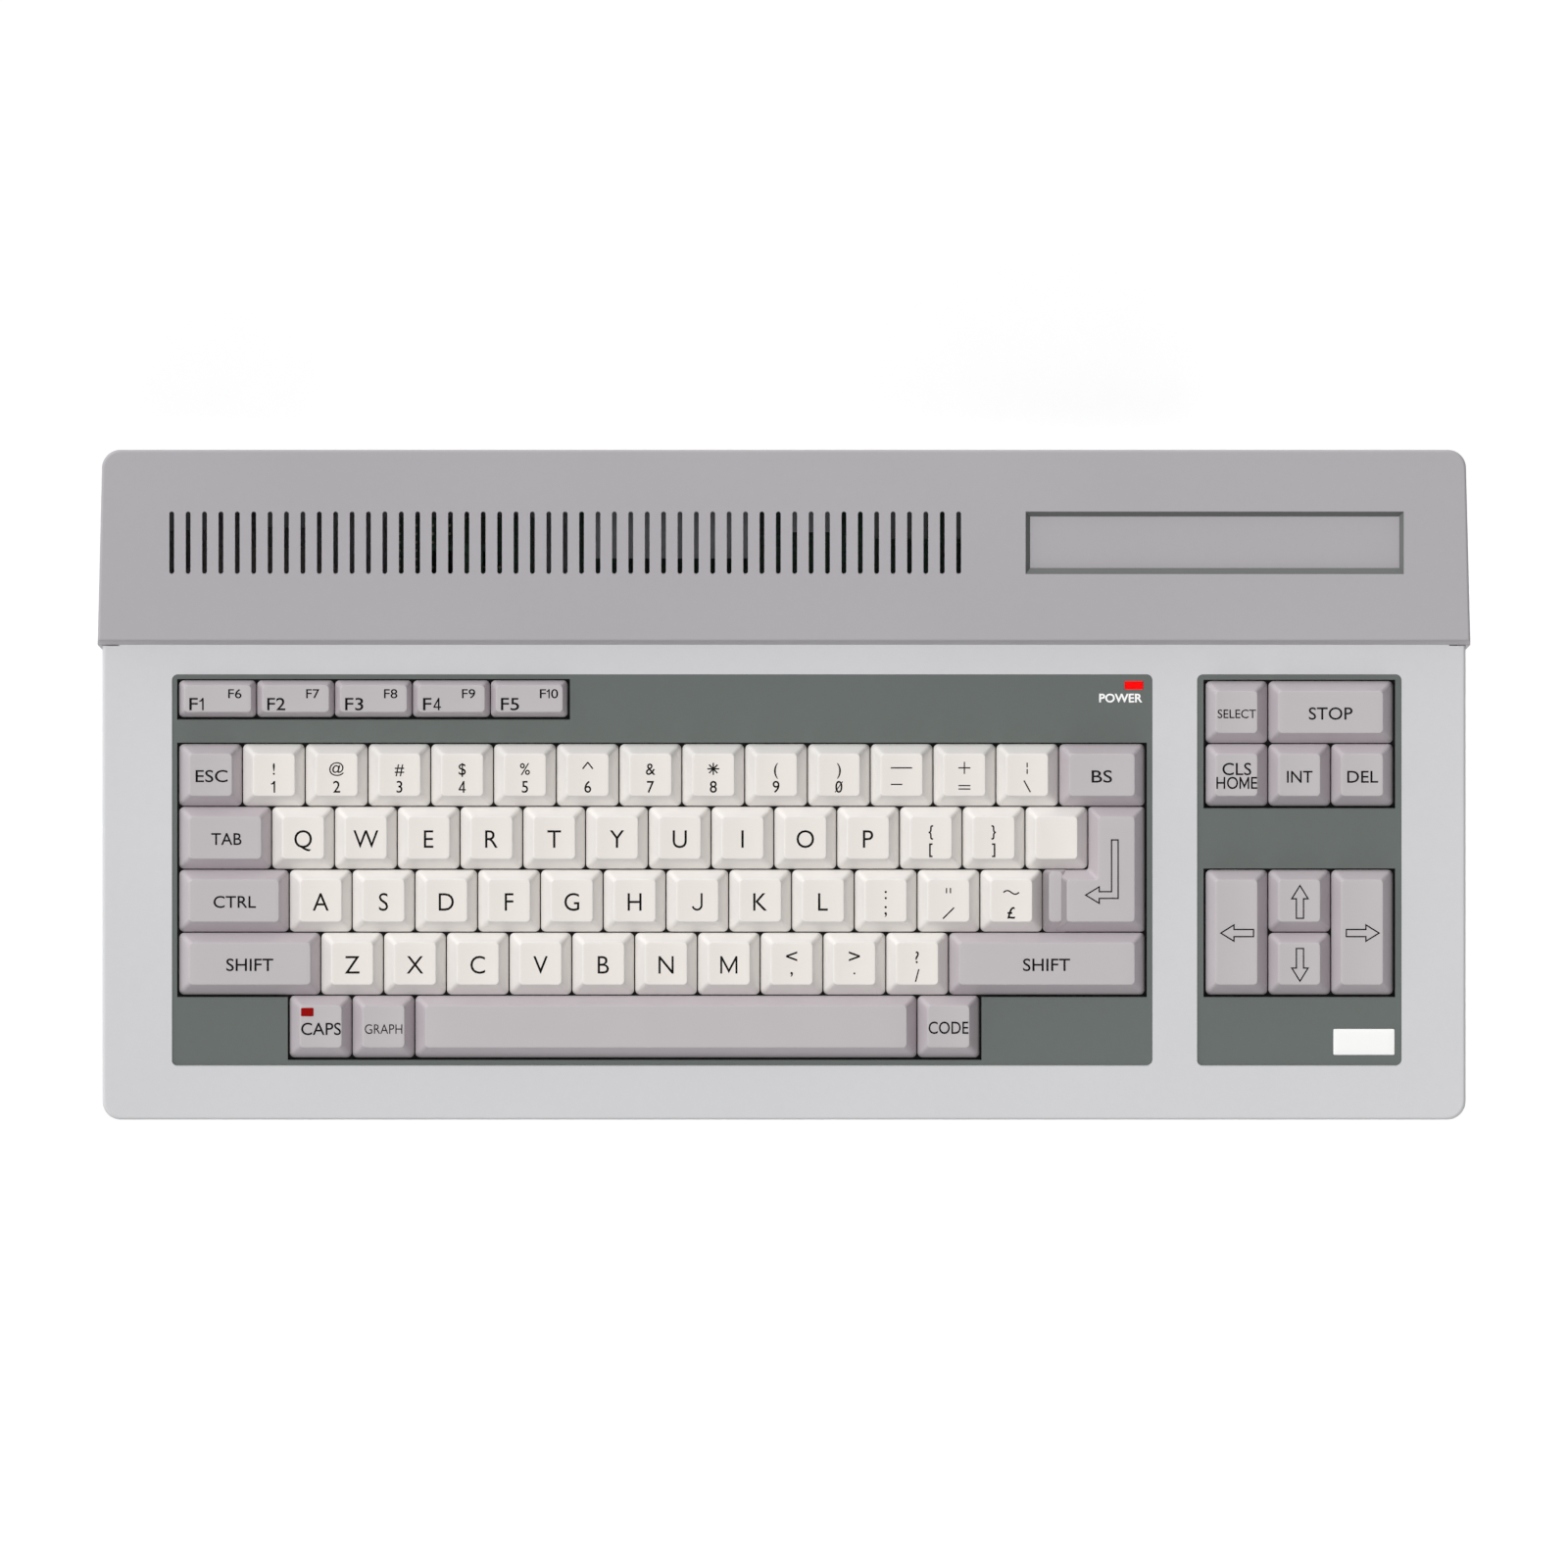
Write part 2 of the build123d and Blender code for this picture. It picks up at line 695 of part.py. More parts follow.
def rear_hood():
    foot_y = hood_front_y - hood_front_lean
    outer = hood_prism(0) & below_hood(0) & above_deck(-side_wall_depth)
    lean = math.degrees(math.atan2(hood_front_lean, hood_step))
    cutter = Pos(0, foot_y, hood_top_z - hood_step) * Rot(-lean, 0, 0) * block(-big, big, -big, 0, -big, big)
    step_front = cutter & above_deck(0)
    outer = outer - step_front
    top = outer.faces().sort_by(Axis((0, 0, 0), hood.z_dir))[-1]
    outer = fillet(top.edges(), hood_edge_round)
    cavity = hood_prism(wall) & below_hood(-wall)
    cavity = cavity & block(-big, big, hood_front_y + wall, big, 0, big)
    side_room = case_prism(wall, 0, big) & below_deck(0) & block(-big, big, -big, big, 0, big)
    shell = outer - cavity - side_room
    wings = hood_wings(foot_y)
    shell = shell + wings
    shell = shell - hood_openings()
    room = case_prism(boss_clearance, 0, big) & below_hood(-wall + boss_sink)
    return with_bosses(shell, room, True)


def hood_wings(foot_y):
    """The slivers at both sides that lead the flared hood back to the sides of the deck."""
    wings = []
    for side in (-1, 1):
        corners = [
            (side * half_width, foot_y + 0.5),
            (side * (half_width + hood_flare), foot_y + 0.5),
            (side * (half_width + hood_flare), foot_y),
            (side * half_width, foot_y - hood_foot_chamfer),
        ]
        wing = extrude(make_face(Polyline(*corners, close=True)), big)
        wings.append(wing & below_deck(0) & above_deck(-side_wall_depth))
    return wings


def hood_openings():
    """Ventilation slots and the mouth of the cartridge slot, with its slanted rim."""
    cuts = []
    slot = extrude(Rot(0, 0, 90) * SlotOverall(vent_length / hood_cos, vent_width), wall + 2)
    for i in range(vent_count):
        place = Pos(vent_left_x + i * vent_pitch, hood_v(mouth_y), -wall - 1)
        cuts.append(hood.location * place * slot)
    top = Rectangle(mouth_width, mouth_depth / hood_cos)
    foot = Pos(0, 0, -wall) * Rectangle(2 * mouth_half_x, 2 * mouth_half_y / hood_cos)
    rim = loft([foot.face(), top.face()], ruled=True)
    cuts.append(hood.location * Pos(mouth_x, hood_v(mouth_y), 0) * rim)
    return cuts


def rubber_feet():
    places = []
    for x in (-half_width + foot_inset_x, half_width - foot_inset_x):
        for y in (-half_depth + foot_inset_y, half_depth - foot_inset_y):
            places.append(peg(x, y, 0, foot_height + foot_recess, foot_radius))
    return places


def case_screws():
    """The case screws from below, and the short ones that hold the keyboard and the main board."""
    screws = []
    for x, y, rear in column_places:
        seat = column_split_z(rear) - screw_seat
        screws.append(screw(x, y, seat))
    for x, v in post_places:
        screws.append(deck.location * short_screw(x, v, frame_top, frame_thickness))
    for x, y in board_post_places:
        screws.append(short_screw(x, y, board_top_z, board_thickness, board_screw_bite))
    return screws


def short_screw(x, y, seat, plate, bite=screw_bite):
    """A screw from above through a plate and into the post below it."""
    head = peg(x, y, seat, seat + screw_head_height, screw_head_radius)
    return head + peg(x, y, seat - plate - bite, seat, screw_radius)


# --- bezels and lights ---
def bezel(x0, x1, windows):
    """A recessed plate with a rim that hangs under the deck, in the deck's frame."""
    v0 = deck_v(bezel_front_y)
    v1 = deck_v(bezel_rear_y)
    low = -wall - bezel_flange_thickness
    fit = bezel_clearance
    radius = bezel_corner_radius - fit
    body = rounded_block(x0 + fit, x1 - fit, v0 + fit, v1 - fit, low, -bezel_recess, radius)
    reach = bezel_flange
    flange = block(x0 - reach, x1 + reach, v0 - reach, v1 + reach, low, -wall)
    inset = bezel_rim + fit
    hollow = block(x0 + inset, x1 - inset, v0 + inset, v1 - inset, low - 1, -bezel_recess - bezel_plate)
    return (body + flange) - hollow - windows


def key_window(x0, x1, front_y, rear_y):
    """An opening round a group of key places."""
    gap = key_window_gap
    return block(x0 - gap, x1 + gap, deck_v(front_y) - gap, deck_v(rear_y) + gap, -big, big)


def main_key_bezel():
    half_row = key_row_pitch / 2
    bottom_left = key_block_left + control_width
    bottom_right = bottom_left + (3 + space_bar_units) * key_unit
    functions_right = key_block_left + 5 * function_key_width
    reach = function_key_depth / 2
    led = block(
        led_x - led_width / 2 - led_clearance,
        led_x + led_width / 2 + led_clearance,
        deck_v(led_y) - led_depth / 2 - led_clearance,
        deck_v(led_y) + led_depth / 2 + led_clearance,
        -big,
        big,
    )
    upper = bottom_row_y + half_row
    windows = [
        key_window(key_block_left, functions_right, function_row_y - reach, function_row_y + reach),
        key_window(key_block_left, key_block_right, upper, number_row_y + half_row),
        key_window(bottom_left, bottom_right, bottom_row_y - half_row, upper),
        led,
    ]
    return deck.location * bezel(bezel_left, bezel_right, windows)


def side_key_bezel():
    half_row = key_row_pitch / 2
    top = number_row_y + key_row_pitch + half_row
    arrows_rear = number_row_y - 1.5 * key_row_pitch
    windows = [
        key_window(side_block_left, side_block_right, number_row_y - half_row, top),
        key_window(side_block_left, side_block_right, arrows_rear - 2 * key_row_pitch, arrows_rear),
        badge_block(bezel_clearance, -bezel_recess - badge_thickness + badge_proud, 0),
    ]
    return deck.location * bezel(side_bezel_left, side_bezel_right, windows)


def badge_block(clearance, w0, w1):
    """The blank badge, or its pocket, in the deck's frame."""
    x = badge_width / 2 + clearance
    v = badge_depth / 2 + clearance
    mid = deck_v(badge_y)
    return block(badge_x - x, badge_x + x, mid - v, mid + v, w0, w1)


def blank_badge():
    top = -bezel_recess + badge_proud
    return deck.location * badge_block(0, top - badge_thickness, top)


def power_led():
    x = led_width / 2
    v = led_depth / 2
    mid = deck_v(led_y)
    top = -bezel_recess + led_proud
    return deck.location * block(led_x - x, led_x + x, mid - v, mid + v, frame_top, top)


# --- keys ---
def cap_form(width, depth, height, inset):
    """A cap's outer form: a tapered block that stands upright on the sloping deck."""
    foot = RectangleRounded(width, depth, cap_corner_radius)
    top = RectangleRounded(width - 2 * inset, depth - 2 * inset, cap_top_corner_radius)
    top = Pos(0, height * deck_tan, height) * top
    return loft([foot.face(), top.face()], ruled=True)


def dish(half_top, height):
    """The cylinder whose lowest part hollows a cap's top."""
    reach = half_top - dish_border
    radius = (reach**2 + dish_depth**2) / (2 * dish_depth)
    return peg_y(0, height - dish_depth + radius, -key_unit, 2 * key_unit, radius)


def plunger(height):
    """The boss under a cap's top and the stem that slides in the frame's guide."""
    stem = peg(0, 0, frame_foot, boss_foot, stem_radius)
    stem = stem + peg(0, 0, boss_foot, boss_foot + stem_pin_length, stem_pin_radius)
    stem = stem + peg(0, 0, stem_foot, frame_foot, stem_flange_radius)
    ceiling = cap_foot + height - cap_wall
    boss = peg(0, 0, boss_foot, ceiling + cap_wall / 2, boss_radius)
    bore = peg(0, 0, boss_foot, min(boss_foot + stem_pin_length + 0.2, ceiling), boss_bore_radius)
    return boss - bore, stem


def key(width, depth, height=cap_height, inset=cap_top_inset, dished=True):
    """One key in the deck's frame, centred on its place: a hollow cap and its stem."""
    outer = Pos(0, 0, cap_foot) * cap_form(width - key_gap, depth - key_gap, height, inset)
    inner_height = height - cap_wall
    inner_width = width - key_gap - 2 * cap_wall
    inner_depth = depth - key_gap - 2 * cap_wall
    hollow = cap_form(inner_width, inner_depth, inner_height, inset * inner_height / height)
    if dished:
        outer = outer - dish((width - key_gap) / 2 - inset, cap_foot + height)
    boss, stem = plunger(height)
    return [outer - Pos(0, 0, cap_foot) * hollow + boss, stem]


def corner_form(x0, x1, x2, v0, v1, v2, w):
    """A flat L: x0 to x2 wide from v0 to v1, and x1 to x2 wide from there to v2."""
    points = [(x0, v0), (x2, v0), (x2, v2), (x1, v2), (x1, v1), (x0, v1)]
    return Pos(0, 0, w) * make_face(Polyline(*points, close=True))


def return_form(corners, height, insets):
    """The tapered L of the return key; insets are its four kinds of side."""
    x0, x1, x2, v0, v1, v2 = corners
    left, plain, front, rear = insets
    foot = corner_form(x0, x1, x2, v0, v1, v2, 0)
    top = corner_form(x0 + left, x1 + plain, x2 - plain, v0 + front, v1 - rear, v2 - rear, height)
    return loft([foot, top], ruled=True)


def return_key():
    """The L-shaped key over two rows, with its low step at the left."""
    gap = key_gap / 2
    x_low = key_block_left + control_width + 12 * key_unit + gap
    x_high = key_block_left + tab_width + 13 * key_unit + gap
    x_end = key_block_right - gap
    v0 = deck_v(number_row_y - 2.5 * key_row_pitch) + gap
    v1 = v0 + key_depth - 2 * gap
    v2 = v0 + 2 * key_depth - 2 * gap
    shift = cap_height * deck_tan
    x_riser = x_low + return_step_width - return_riser_inset
    insets = (return_riser_inset, cap_top_inset, cap_top_inset + shift, cap_top_inset - shift)
    outer = return_form((x_riser, x_high, x_end, v0, v1, v2), cap_height, insets)
    upright = [edge for edge in outer.edges() if abs(edge.center().Z - cap_height / 2) < 0.1]
    outer = fillet(upright, cap_top_corner_radius)
    t = cap_wall
    share = (cap_height - t) / cap_height
    inner_insets = tuple(inset * share for inset in insets)
    inner_corners = (x_riser + t, x_high + t, x_end - t, v0 + t, v1 - t, v2 - t)
    inner = return_form(inner_corners, cap_height - t, inner_insets)
    step = step_form(x_low, v0, v1, return_step_height, 0)
    step_room = step_form(x_low, v0, v1, return_step_height - t, t)
    cap = Pos(0, 0, cap_foot) * ((outer + step) - inner - step_room)
    boss, stem = plunger(cap_height)
    place = Pos(return_stem_x, (v0 + v1) / 2, 0)
    return [cap + place * boss, place * stem]


def step_form(x_low, v0, v1, height, skin):
    """The low step of the return key, or the room under it when skin is its wall."""
    reach = return_step_width + return_step_tuck
    lean = height * deck_tan
    width = reach - 2 * skin
    depth = v1 - v0 - 2 * skin
    radius = cap_corner_radius - skin / 2
    inset = return_step_inset
    foot = RectangleRounded(width, depth, radius)
    top = RectangleRounded(width - 2 * inset, depth - 2 * inset, radius)
    form = loft([foot.face(), (Pos(0, lean, height) * top).face()], ruled=True)
    return Pos(x_low + reach / 2, (v0 + v1) / 2, 0) * form


def row_v(row):
    """Place of a key row up the slope; the digits are row 0 and the space bar is in row 4."""
    return deck_v(number_row_y - row * key_row_pitch)


def key_places():
    """Every key as (node, x, v, width, depth), the return key apart."""
    places = []

    def put(node, left, row, width, depth=key_depth, v=None):
        places.append((node, left + width / 2, row_v(row) if v is None else v, width, depth))
        return left + width

    depth = function_key_depth / deck_cos
    for i in range(5):
        left = key_block_left + i * function_key_width
        put(f"function_key_{i + 1}", left, 0, function_key_width, depth, deck_v(function_row_y))
    rows = (
        ("escape_key", escape_width, "number_row_keys", 13, "backspace_key"),
        ("tab_key", tab_width, "upper_row_keys", 13, None),
        ("control_key", control_width, "home_row_keys", 12, None),
        ("left_shift_key", shift_width, "lower_row_keys", 10, "right_shift_key"),
    )
    for row, (first, width, name, count, last) in enumerate(rows):
        x = put(first, key_block_left, row, width)
        for _ in range(count):
            x = put(name, x, row, key_unit)
        if last:
            put(last, x, row, key_block_right - x)
    x = put("caps_key", key_block_left + control_width, 4, key_unit)
    x = put("graph_key", x, 4, key_unit)
    x = put("space_bar", x, 4, space_bar_units * key_unit)
    put("code_key", x, 4, key_unit)
    x = put("select_key", side_block_left, -1, key_unit)
    put("stop_key", x, -1, 2 * key_unit)
    for i, name in enumerate(("clear_key", "insert_key", "delete_key")):
        put(name, side_block_left + i * key_unit, 0, key_unit)
    arrows_v = (row_v(2) + row_v(3)) / 2
    put("arrow_left_key", side_block_left, 2, key_unit, 2 * key_depth, arrows_v)
    put("arrow_up_key", side_block_left + key_unit, 2, key_unit)
    put("arrow_down_key", side_block_left + key_unit, 3, key_unit)
    put("arrow_right_key", side_block_left + 2 * key_unit, 2, key_unit, 2 * key_depth, arrows_v)
    return places


def stem_places():
    """Where a stem goes through the frame, the return key's included."""
    places = [(x, v) for _, x, v, _, _ in key_places()]
    return places + [(return_stem_x, row_v(2))]


def keys():
    """The solids of every key node, in the deck's frame."""
    made = {}
    nodes = {}
    for node, x, v, width, depth in key_places():
        size = (round(width, 4), round(depth, 4), node.startswith("function"))
        if size not in made:
            if size[2]:
                made[size] = key(width, depth, function_cap_height, function_cap_inset)
            else:
                made[size] = key(width, depth, dished=width < 3 * key_unit)
        nodes.setdefault(node, []).extend(Pos(x, v, 0) * solid for solid in made[size])
    nodes["return_key"] = return_key()
    nodes["space_bar"] = space_bar(nodes["space_bar"])
    caps_cap, caps_stem = nodes["caps_key"]
    nodes["caps_key"] = [caps_cap - caps_led_block(led_clearance), caps_stem]
    return nodes


def caps_led_block(clearance):
    """The light in the caps key, or its pocket, in the deck's frame."""
    node, x, v, _, _ = next(place for place in key_places() if place[0] == "caps_key")
    reach_x = caps_led_width / 2 + clearance
    reach_v = caps_led_depth / 2 + clearance
    mid_x = x + caps_led_dx
    mid_v = v + caps_led_dy + cap_height * deck_tan
    top = cap_foot + cap_height + caps_led_proud
    foot = top - caps_led_length
    return block(mid_x - reach_x, mid_x + reach_x, mid_v - reach_v, mid_v + reach_v, foot, top)


def space_bar(solids):
    """The space bar with its two hooks for the wire's ends."""
    cap, stem = solids
    _, x, v, _, _ = next(place for place in key_places() if place[0] == "space_bar")
    room = wire_radius + wire_clearance
    slot_rear = v + wire_end_v + room
    slot_front = v + wire_pressed_v - room
    slot_top = wire_end_w + room
    slot_foot = wire_end_w - room
    hook_head = cap_foot + cap_height - cap_wall / 2
    for side in (-1, 1):
        mid = x + side * (wire_half_span - wire_end_length + hook_width / 2 + hook_set)
        x0 = mid - hook_width / 2
        x1 = mid + hook_width / 2
        eye = block(
            x0, x1, slot_front - hook_wall, slot_rear + hook_wall, slot_foot - hook_wall, slot_top + hook_wall
        )
        leg = block(x0, x1, slot_rear, slot_rear + hook_wall, slot_foot, hook_head)
        slot = block(x0 - 1, x1 + 1, slot_front, slot_rear, slot_foot, slot_top)
        cap = cap + (eye + leg - slot)
    return [cap, stem]


def space_bar_wire():
    """The bent wire that keeps the space bar level, in the deck's frame."""
    _, x, v, _, _ = next(place for place in key_places() if place[0] == "space_bar")
    path = FilletPolyline(
        (x - wire_half_span + wire_end_length, v + wire_end_v, wire_end_w),
        (x - wire_half_span, v + wire_end_v, wire_end_w),
        (x - wire_half_span, v + wire_rod_v, wire_rod_w),
        (x + wire_half_span, v + wire_rod_v, wire_rod_w),
        (x + wire_half_span, v + wire_end_v, wire_end_w),
        (x + wire_half_span - wire_end_length, v + wire_end_v, wire_end_w),
        radius=wire_bend,
    )
    section = Plane(path @ 0, z_dir=path % 0) * Circle(wire_radius)
    return deck.location * sweep(section, path)


# --- under the keys ---
def plate_edges(margin):
    """Left, right, front and rear of a plate under all the keys, in the deck's frame."""
    front = deck_v(bottom_row_y - key_row_pitch / 2) - margin
    rear = deck_v(number_row_y + key_row_pitch * 1.5) + margin
    return key_block_left - margin, side_block_right + margin, front, rear


def board_pegs(radius):
    """Pegs from the frame down to the keyboard's board, in the lanes between the rows."""
    pegs = []
    for row in range(4):
        v = (row_v(row) + row_v(row + 1)) / 2
        for i in range(peg_columns):
            x = key_block_left + key_unit / 2 + i * peg_spacing
            pegs.append(peg(x, v, key_board_top, frame_foot, radius))
    return pegs


def post_room():
    """Room for the posts and screws that pass the boards, in the deck's frame."""
    return [peg(x, v, -big / 2, frame_foot + 1, post_radius + post_clearance) for x, v in post_places]


def keyboard_frame():
    x0, x1, v0, v1 = plate_edges(frame_margin)
    tubes = []
    bores = []
    for x, v in stem_places():
        tubes.append(peg(x, v, frame_top - 0.5, frame_top + guide_height, guide_radius))
        bores.append(peg(x, v, frame_foot - 1, frame_top + guide_height + 1, guide_bore_radius))
    for x, v in post_places:
        bores.append(peg(x, v, frame_foot - 1, frame_top + 1, screw_radius + screw_clearance))
    _, bar_x, bar_v, _, _ = next(place for place in key_places() if place[0] == "space_bar")
    clips = []
    for side in (-1, 1):
        mid = bar_x + side * clip_x
        rod_v = bar_v + wire_rod_v
        top = wire_rod_w + wire_radius + hook_wall
        reach = wire_radius + hook_wall
        x_low = mid - clip_width / 2
        clips.append(block(x_low, x_low + clip_width, rod_v - reach, rod_v + reach, frame_top - 0.5, top))
        bore = wire_radius + wire_rod_clearance
        bores.append(peg_x(rod_v, wire_rod_w, x_low - 1, x_low + clip_width + 1, bore))
    plate = block(x0, x1, v0, v1, frame_foot, frame_top)
    plate = plate + tubes + clips + board_pegs(peg_radius)
    return deck.location * (plate - bores)


def dome_sheet():
    x0, x1, v0, v1 = plate_edges(board_margin)
    sheet = block(x0, x1, v0, v1, key_board_top, sheet_top)
    domes = []
    rooms = []
    for x, v in stem_places():
        foot = sheet_top - 0.2
        height = stem_foot - foot
        mid = Pos(x, v, foot + height / 2)
        domes.append(mid * Cone(dome_foot_radius, dome_top_radius, height))
        room_height = stem_foot - dome_skin - key_board_top
        place = Pos(x, v, key_board_top + room_height / 2)
        rooms.append(place * Cone(dome_foot_radius - dome_skin, dome_top_radius - dome_skin, room_height))
    sheet = sheet + domes
    return deck.location * (sheet - rooms - board_pegs(peg_radius + peg_clearance) - post_room())


def keyboard_board():
    x0, x1, v0, v1 = plate_edges(board_margin)
    board = block(x0, x1, v0, v1, key_board_foot, key_board_top)
    return deck.location * (board - post_room())


# --- cartridge slot ---
def hinge_place():
    """World y and z of the door's hinge line, square below the hood's top."""
    y = hinge_y + hinge_drop * hood_sin
    z = hood_z(hinge_y) - hinge_drop * hood_cos
    return y, z


def cartridge_bay():
    """The upright shaft under the mouth, with a slotted floor and a flange under the hood."""
    lid = below_hood(-wall)
    thick = bay_wall
    outer = block(bay_left - thick, bay_right + thick, bay_front - thick, bay_rear + thick, bay_foot_z, big)
    room = block(bay_left, bay_right, bay_front, bay_rear, bay_foot_z + bay_wall, big)
    grow = bay_wall + bay_flange
    flange = block(bay_left - grow, bay_right + grow, bay_front - grow, bay_rear + grow, 0, big)
    flange = flange - below_hood(-wall - bay_flange)
    card_x = edge_connector_length / 2 + bay_flange
    card_y = edge_connector_depth / 2 + bay_flange
    card = block(mouth_x - card_x, mouth_x + card_x, mouth_y - card_y, mouth_y + card_y, 0, big)
    y, z = hinge_place()
    bore = hinge_pin_radius + hinge_clearance
    pin_hole = peg_x(y, z, bay_left - 2 * bay_wall, bay_right + 2 * bay_wall, bore)
    return ((outer + flange) & lid) - room - card - pin_hole


def cartridge_door():
    """The flap that closes the mouth from below and swings down into the bay."""
    top = -wall - flap_gap
    x = mouth_half_x + flap_overlap
    v0 = hood_v(flap_front_y)
    axis_v = hood_v(hinge_y)
    plate = block(mouth_x - x, mouth_x + x, v0, axis_v, top - flap_thickness, top)
    free_x = x - hinge_barrel_length
    clear_v = hinge_barrel_radius + flap_gap
    notch = block(mouth_x - free_x, mouth_x + free_x, axis_v - clear_v, axis_v + 1, top - wall, top + 1)
    barrels = []
    for side in (-1, 1):
        ends = sorted((mouth_x + side * free_x, mouth_x + side * x))
        barrels.append(peg_x(axis_v, -hinge_drop, ends[0], ends[1], hinge_barrel_radius))
    door = hood.location * ((plate - notch) + barrels)
    y, z = hinge_place()
    bore = peg_x(y, z, mouth_x - x - 1, mouth_x + x + 1, hinge_pin_radius + hinge_clearance)
    return door - bore


def door_hinge_pin():
    y, z = hinge_place()
    return peg_x(y, z, bay_left - bay_wall, bay_right + bay_wall, hinge_pin_radius)


def door_spring():
    """The coil of the torsion spring round the hinge pin."""
    y, z = hinge_place()
    coil_radius = hinge_pin_radius + spring_clearance + spring_wire_radius
    length = spring_turns * spring_pitch
    helix = Helix(spring_pitch, length, coil_radius)
    section = Plane(helix @ 0, z_dir=helix % 0) * Circle(spring_wire_radius)
    coil = sweep(section, helix, is_frenet=True)
    return Pos(mouth_x - length / 2, y, z) * Rot(0, 90, 0) * coil


# --- main board ---
def main_board():
    plate = block(
        main_board_left, main_board_right, main_board_front, main_board_rear, main_board_z, board_top_z
    )
    holes = [deck.location * room for room in post_room()]
    for x, y in board_post_places:
        holes.append(peg(x, y, 0, board_top_z + 1, screw_radius + screw_clearance))
    return plate - holes


def board_chips():
    """Packages on the main board."""
    chips = []
    for side, front, width, depth in chip_places:
        x = main_board_left + side
        y = main_board_front + front
        chips.append(block(x, x + width, y, y + depth, board_top_z, board_top_z + chip_height))
    return chips


def cartridge_connector():
    x = edge_connector_length / 2
    y = edge_connector_depth / 2
    top = board_top_z + edge_connector_height
    body = block(mouth_x - x, mouth_x + x, mouth_y - y, mouth_y + y, board_top_z, top)
    slot_x = x - edge_slot_margin
    slot_y = edge_slot_width / 2
    foot = top - edge_slot_depth
    slot = block(mouth_x - slot_x, mouth_x + slot_x, mouth_y - slot_y, mouth_y + slot_y, foot, big)
    return body - slot


def ribbon_cable():
    """A flat cable from the keyboard's board over to the main board, with a plug at each end."""
    x0 = ribbon_x - ribbon_width / 2
    plug_left = x0 - plug_margin
    plug_right = x0 + ribbon_width + plug_margin
    rear_v = plate_edges(board_margin)[3]
    plug_foot = key_board_foot - plug_height
    upper = block(plug_left, plug_right, rear_v - plug_depth, rear_v, plug_foot, key_board_foot)
    exit_place = deck.location * Pos(0, rear_v, key_board_foot - plug_height / 2)
    y0 = exit_place.position.Y
    z0 = exit_place.position.Z
    y3 = y0 + ribbon_run
    z3 = board_top_z + plug_height / 2
    lower = block(plug_left, plug_right, y3, y3 + plug_depth, board_top_z, board_top_z + plug_height)
    points = [(x0, y0, z0), (x0, y0 + ribbon_end, z0), (x0, y3 - ribbon_end, z3), (x0, y3, z3)]
    path = FilletPolyline(*points, radius=ribbon_bend)
    start = Plane(path @ 0, x_dir=(1, 0, 0), z_dir=path % 0)
    section = start * Rectangle(ribbon_width, ribbon_thickness)
    ribbon = Pos(ribbon_width / 2, 0, 0) * sweep(section, path)
    return [ribbon, deck.location * upper, lower]


# --- mains side ---
def power_transformer():
    """A laminated core with its winding, on a foot strap."""
    x = transformer_width / 2
    y = transformer_core / 2
    top = floor_z + transformer_height
    mid = transformer_x
    seat = floor_z + strap_thickness
    core = block(mid - x, mid + x, transformer_y - y, transformer_y + y, seat, top)
    bulge_x = x - winding_side
    front = transformer_y - y - winding_bulge
    rear = transformer_y + y + winding_bulge
    foot = floor_z + winding_foot
    winding = block(mid - bulge_x, mid + bulge_x, front, rear, foot, top - winding_head) - core
    strap_y = y - strap_set
    strap_x = strap_half_width
    y0 = transformer_y - strap_y
    y1 = transformer_y + strap_y
    strap = block(mid - strap_x, mid + strap_x, y0, y1, floor_z, seat)
    return [core, strap] + solids_of(winding)


def power_board():
    """The rectifier board with its capacitors and a finned heat sink."""
    x0 = power_board_x - power_board_width / 2
    x1 = power_board_x + power_board_width / 2
    y0 = power_board_y - power_board_depth / 2
    y1 = power_board_y + power_board_depth / 2
    foot = floor_z + power_stand_height
    top = foot + board_thickness
    inset = power_stand_inset
    pieces = [block(x0, x1, y0, y1, foot, top)]
    for x in (x0 + inset, x1 - inset):
        for y in (y0 + inset, y1 - inset):
            pieces.append(peg(x, y, floor_z, foot, power_stand_radius))
    for i, radius in enumerate(capacitor_radii):
        x = x0 + capacitor_side + i * capacitor_pitch
        pieces.append(peg(x, y0 + capacitor_front, top, top + capacitor_shape * radius, radius))
    base_y = y1 - sink_rear
    width = (fin_count - 1) * fin_pitch + fin_thickness
    x_fin = power_board_x - width / 2
    sink = block(x_fin, x_fin + width, base_y - sink_base, base_y, top, top + fin_height)
    for i in range(fin_count):
        x = x_fin + i * fin_pitch
        root = base_y - sink_base / 2
        sink = sink + block(x, x + fin_thickness, base_y - fin_depth, root, top, top + fin_height)
    pieces.append(sink)
    return pieces


# --- sockets ---
def mains_inlet():
    """A two-pin mains inlet, flush with the socket panel."""
    x = inlet_width / 2
    z = inlet_height / 2
    rear = panel_y
    front = rear - inlet_depth
    body = block(inlet_x - x, inlet_x + x, front, rear, socket_z - z, socket_z + z)
    y_flange = rear - wall
    x_flange = x + inlet_flange
    z_flange = z + inlet_flange
    body = body + block(
        inlet_x - x_flange, inlet_x + x_flange, y_flange - inlet_flange_thickness, y_flange,
        socket_z - z_flange, socket_z + z_flange,
    )
    lobe = inlet_pin_spacing / 2
    well = SlotOverall(inlet_pin_spacing + 2 * lobe, 2 * lobe)
    room = Pos(inlet_x, rear, socket_z) * Rot(90, 0, 0) * extrude(well, inlet_recess)
    pins = []
    root = rear - inlet_recess - 1
    for side in (-1, 1):
        pins.append(peg_y(inlet_x + side * lobe, socket_z, root, rear - inlet_pin_set, inlet_pin_radius))
    return (body - room) + pins


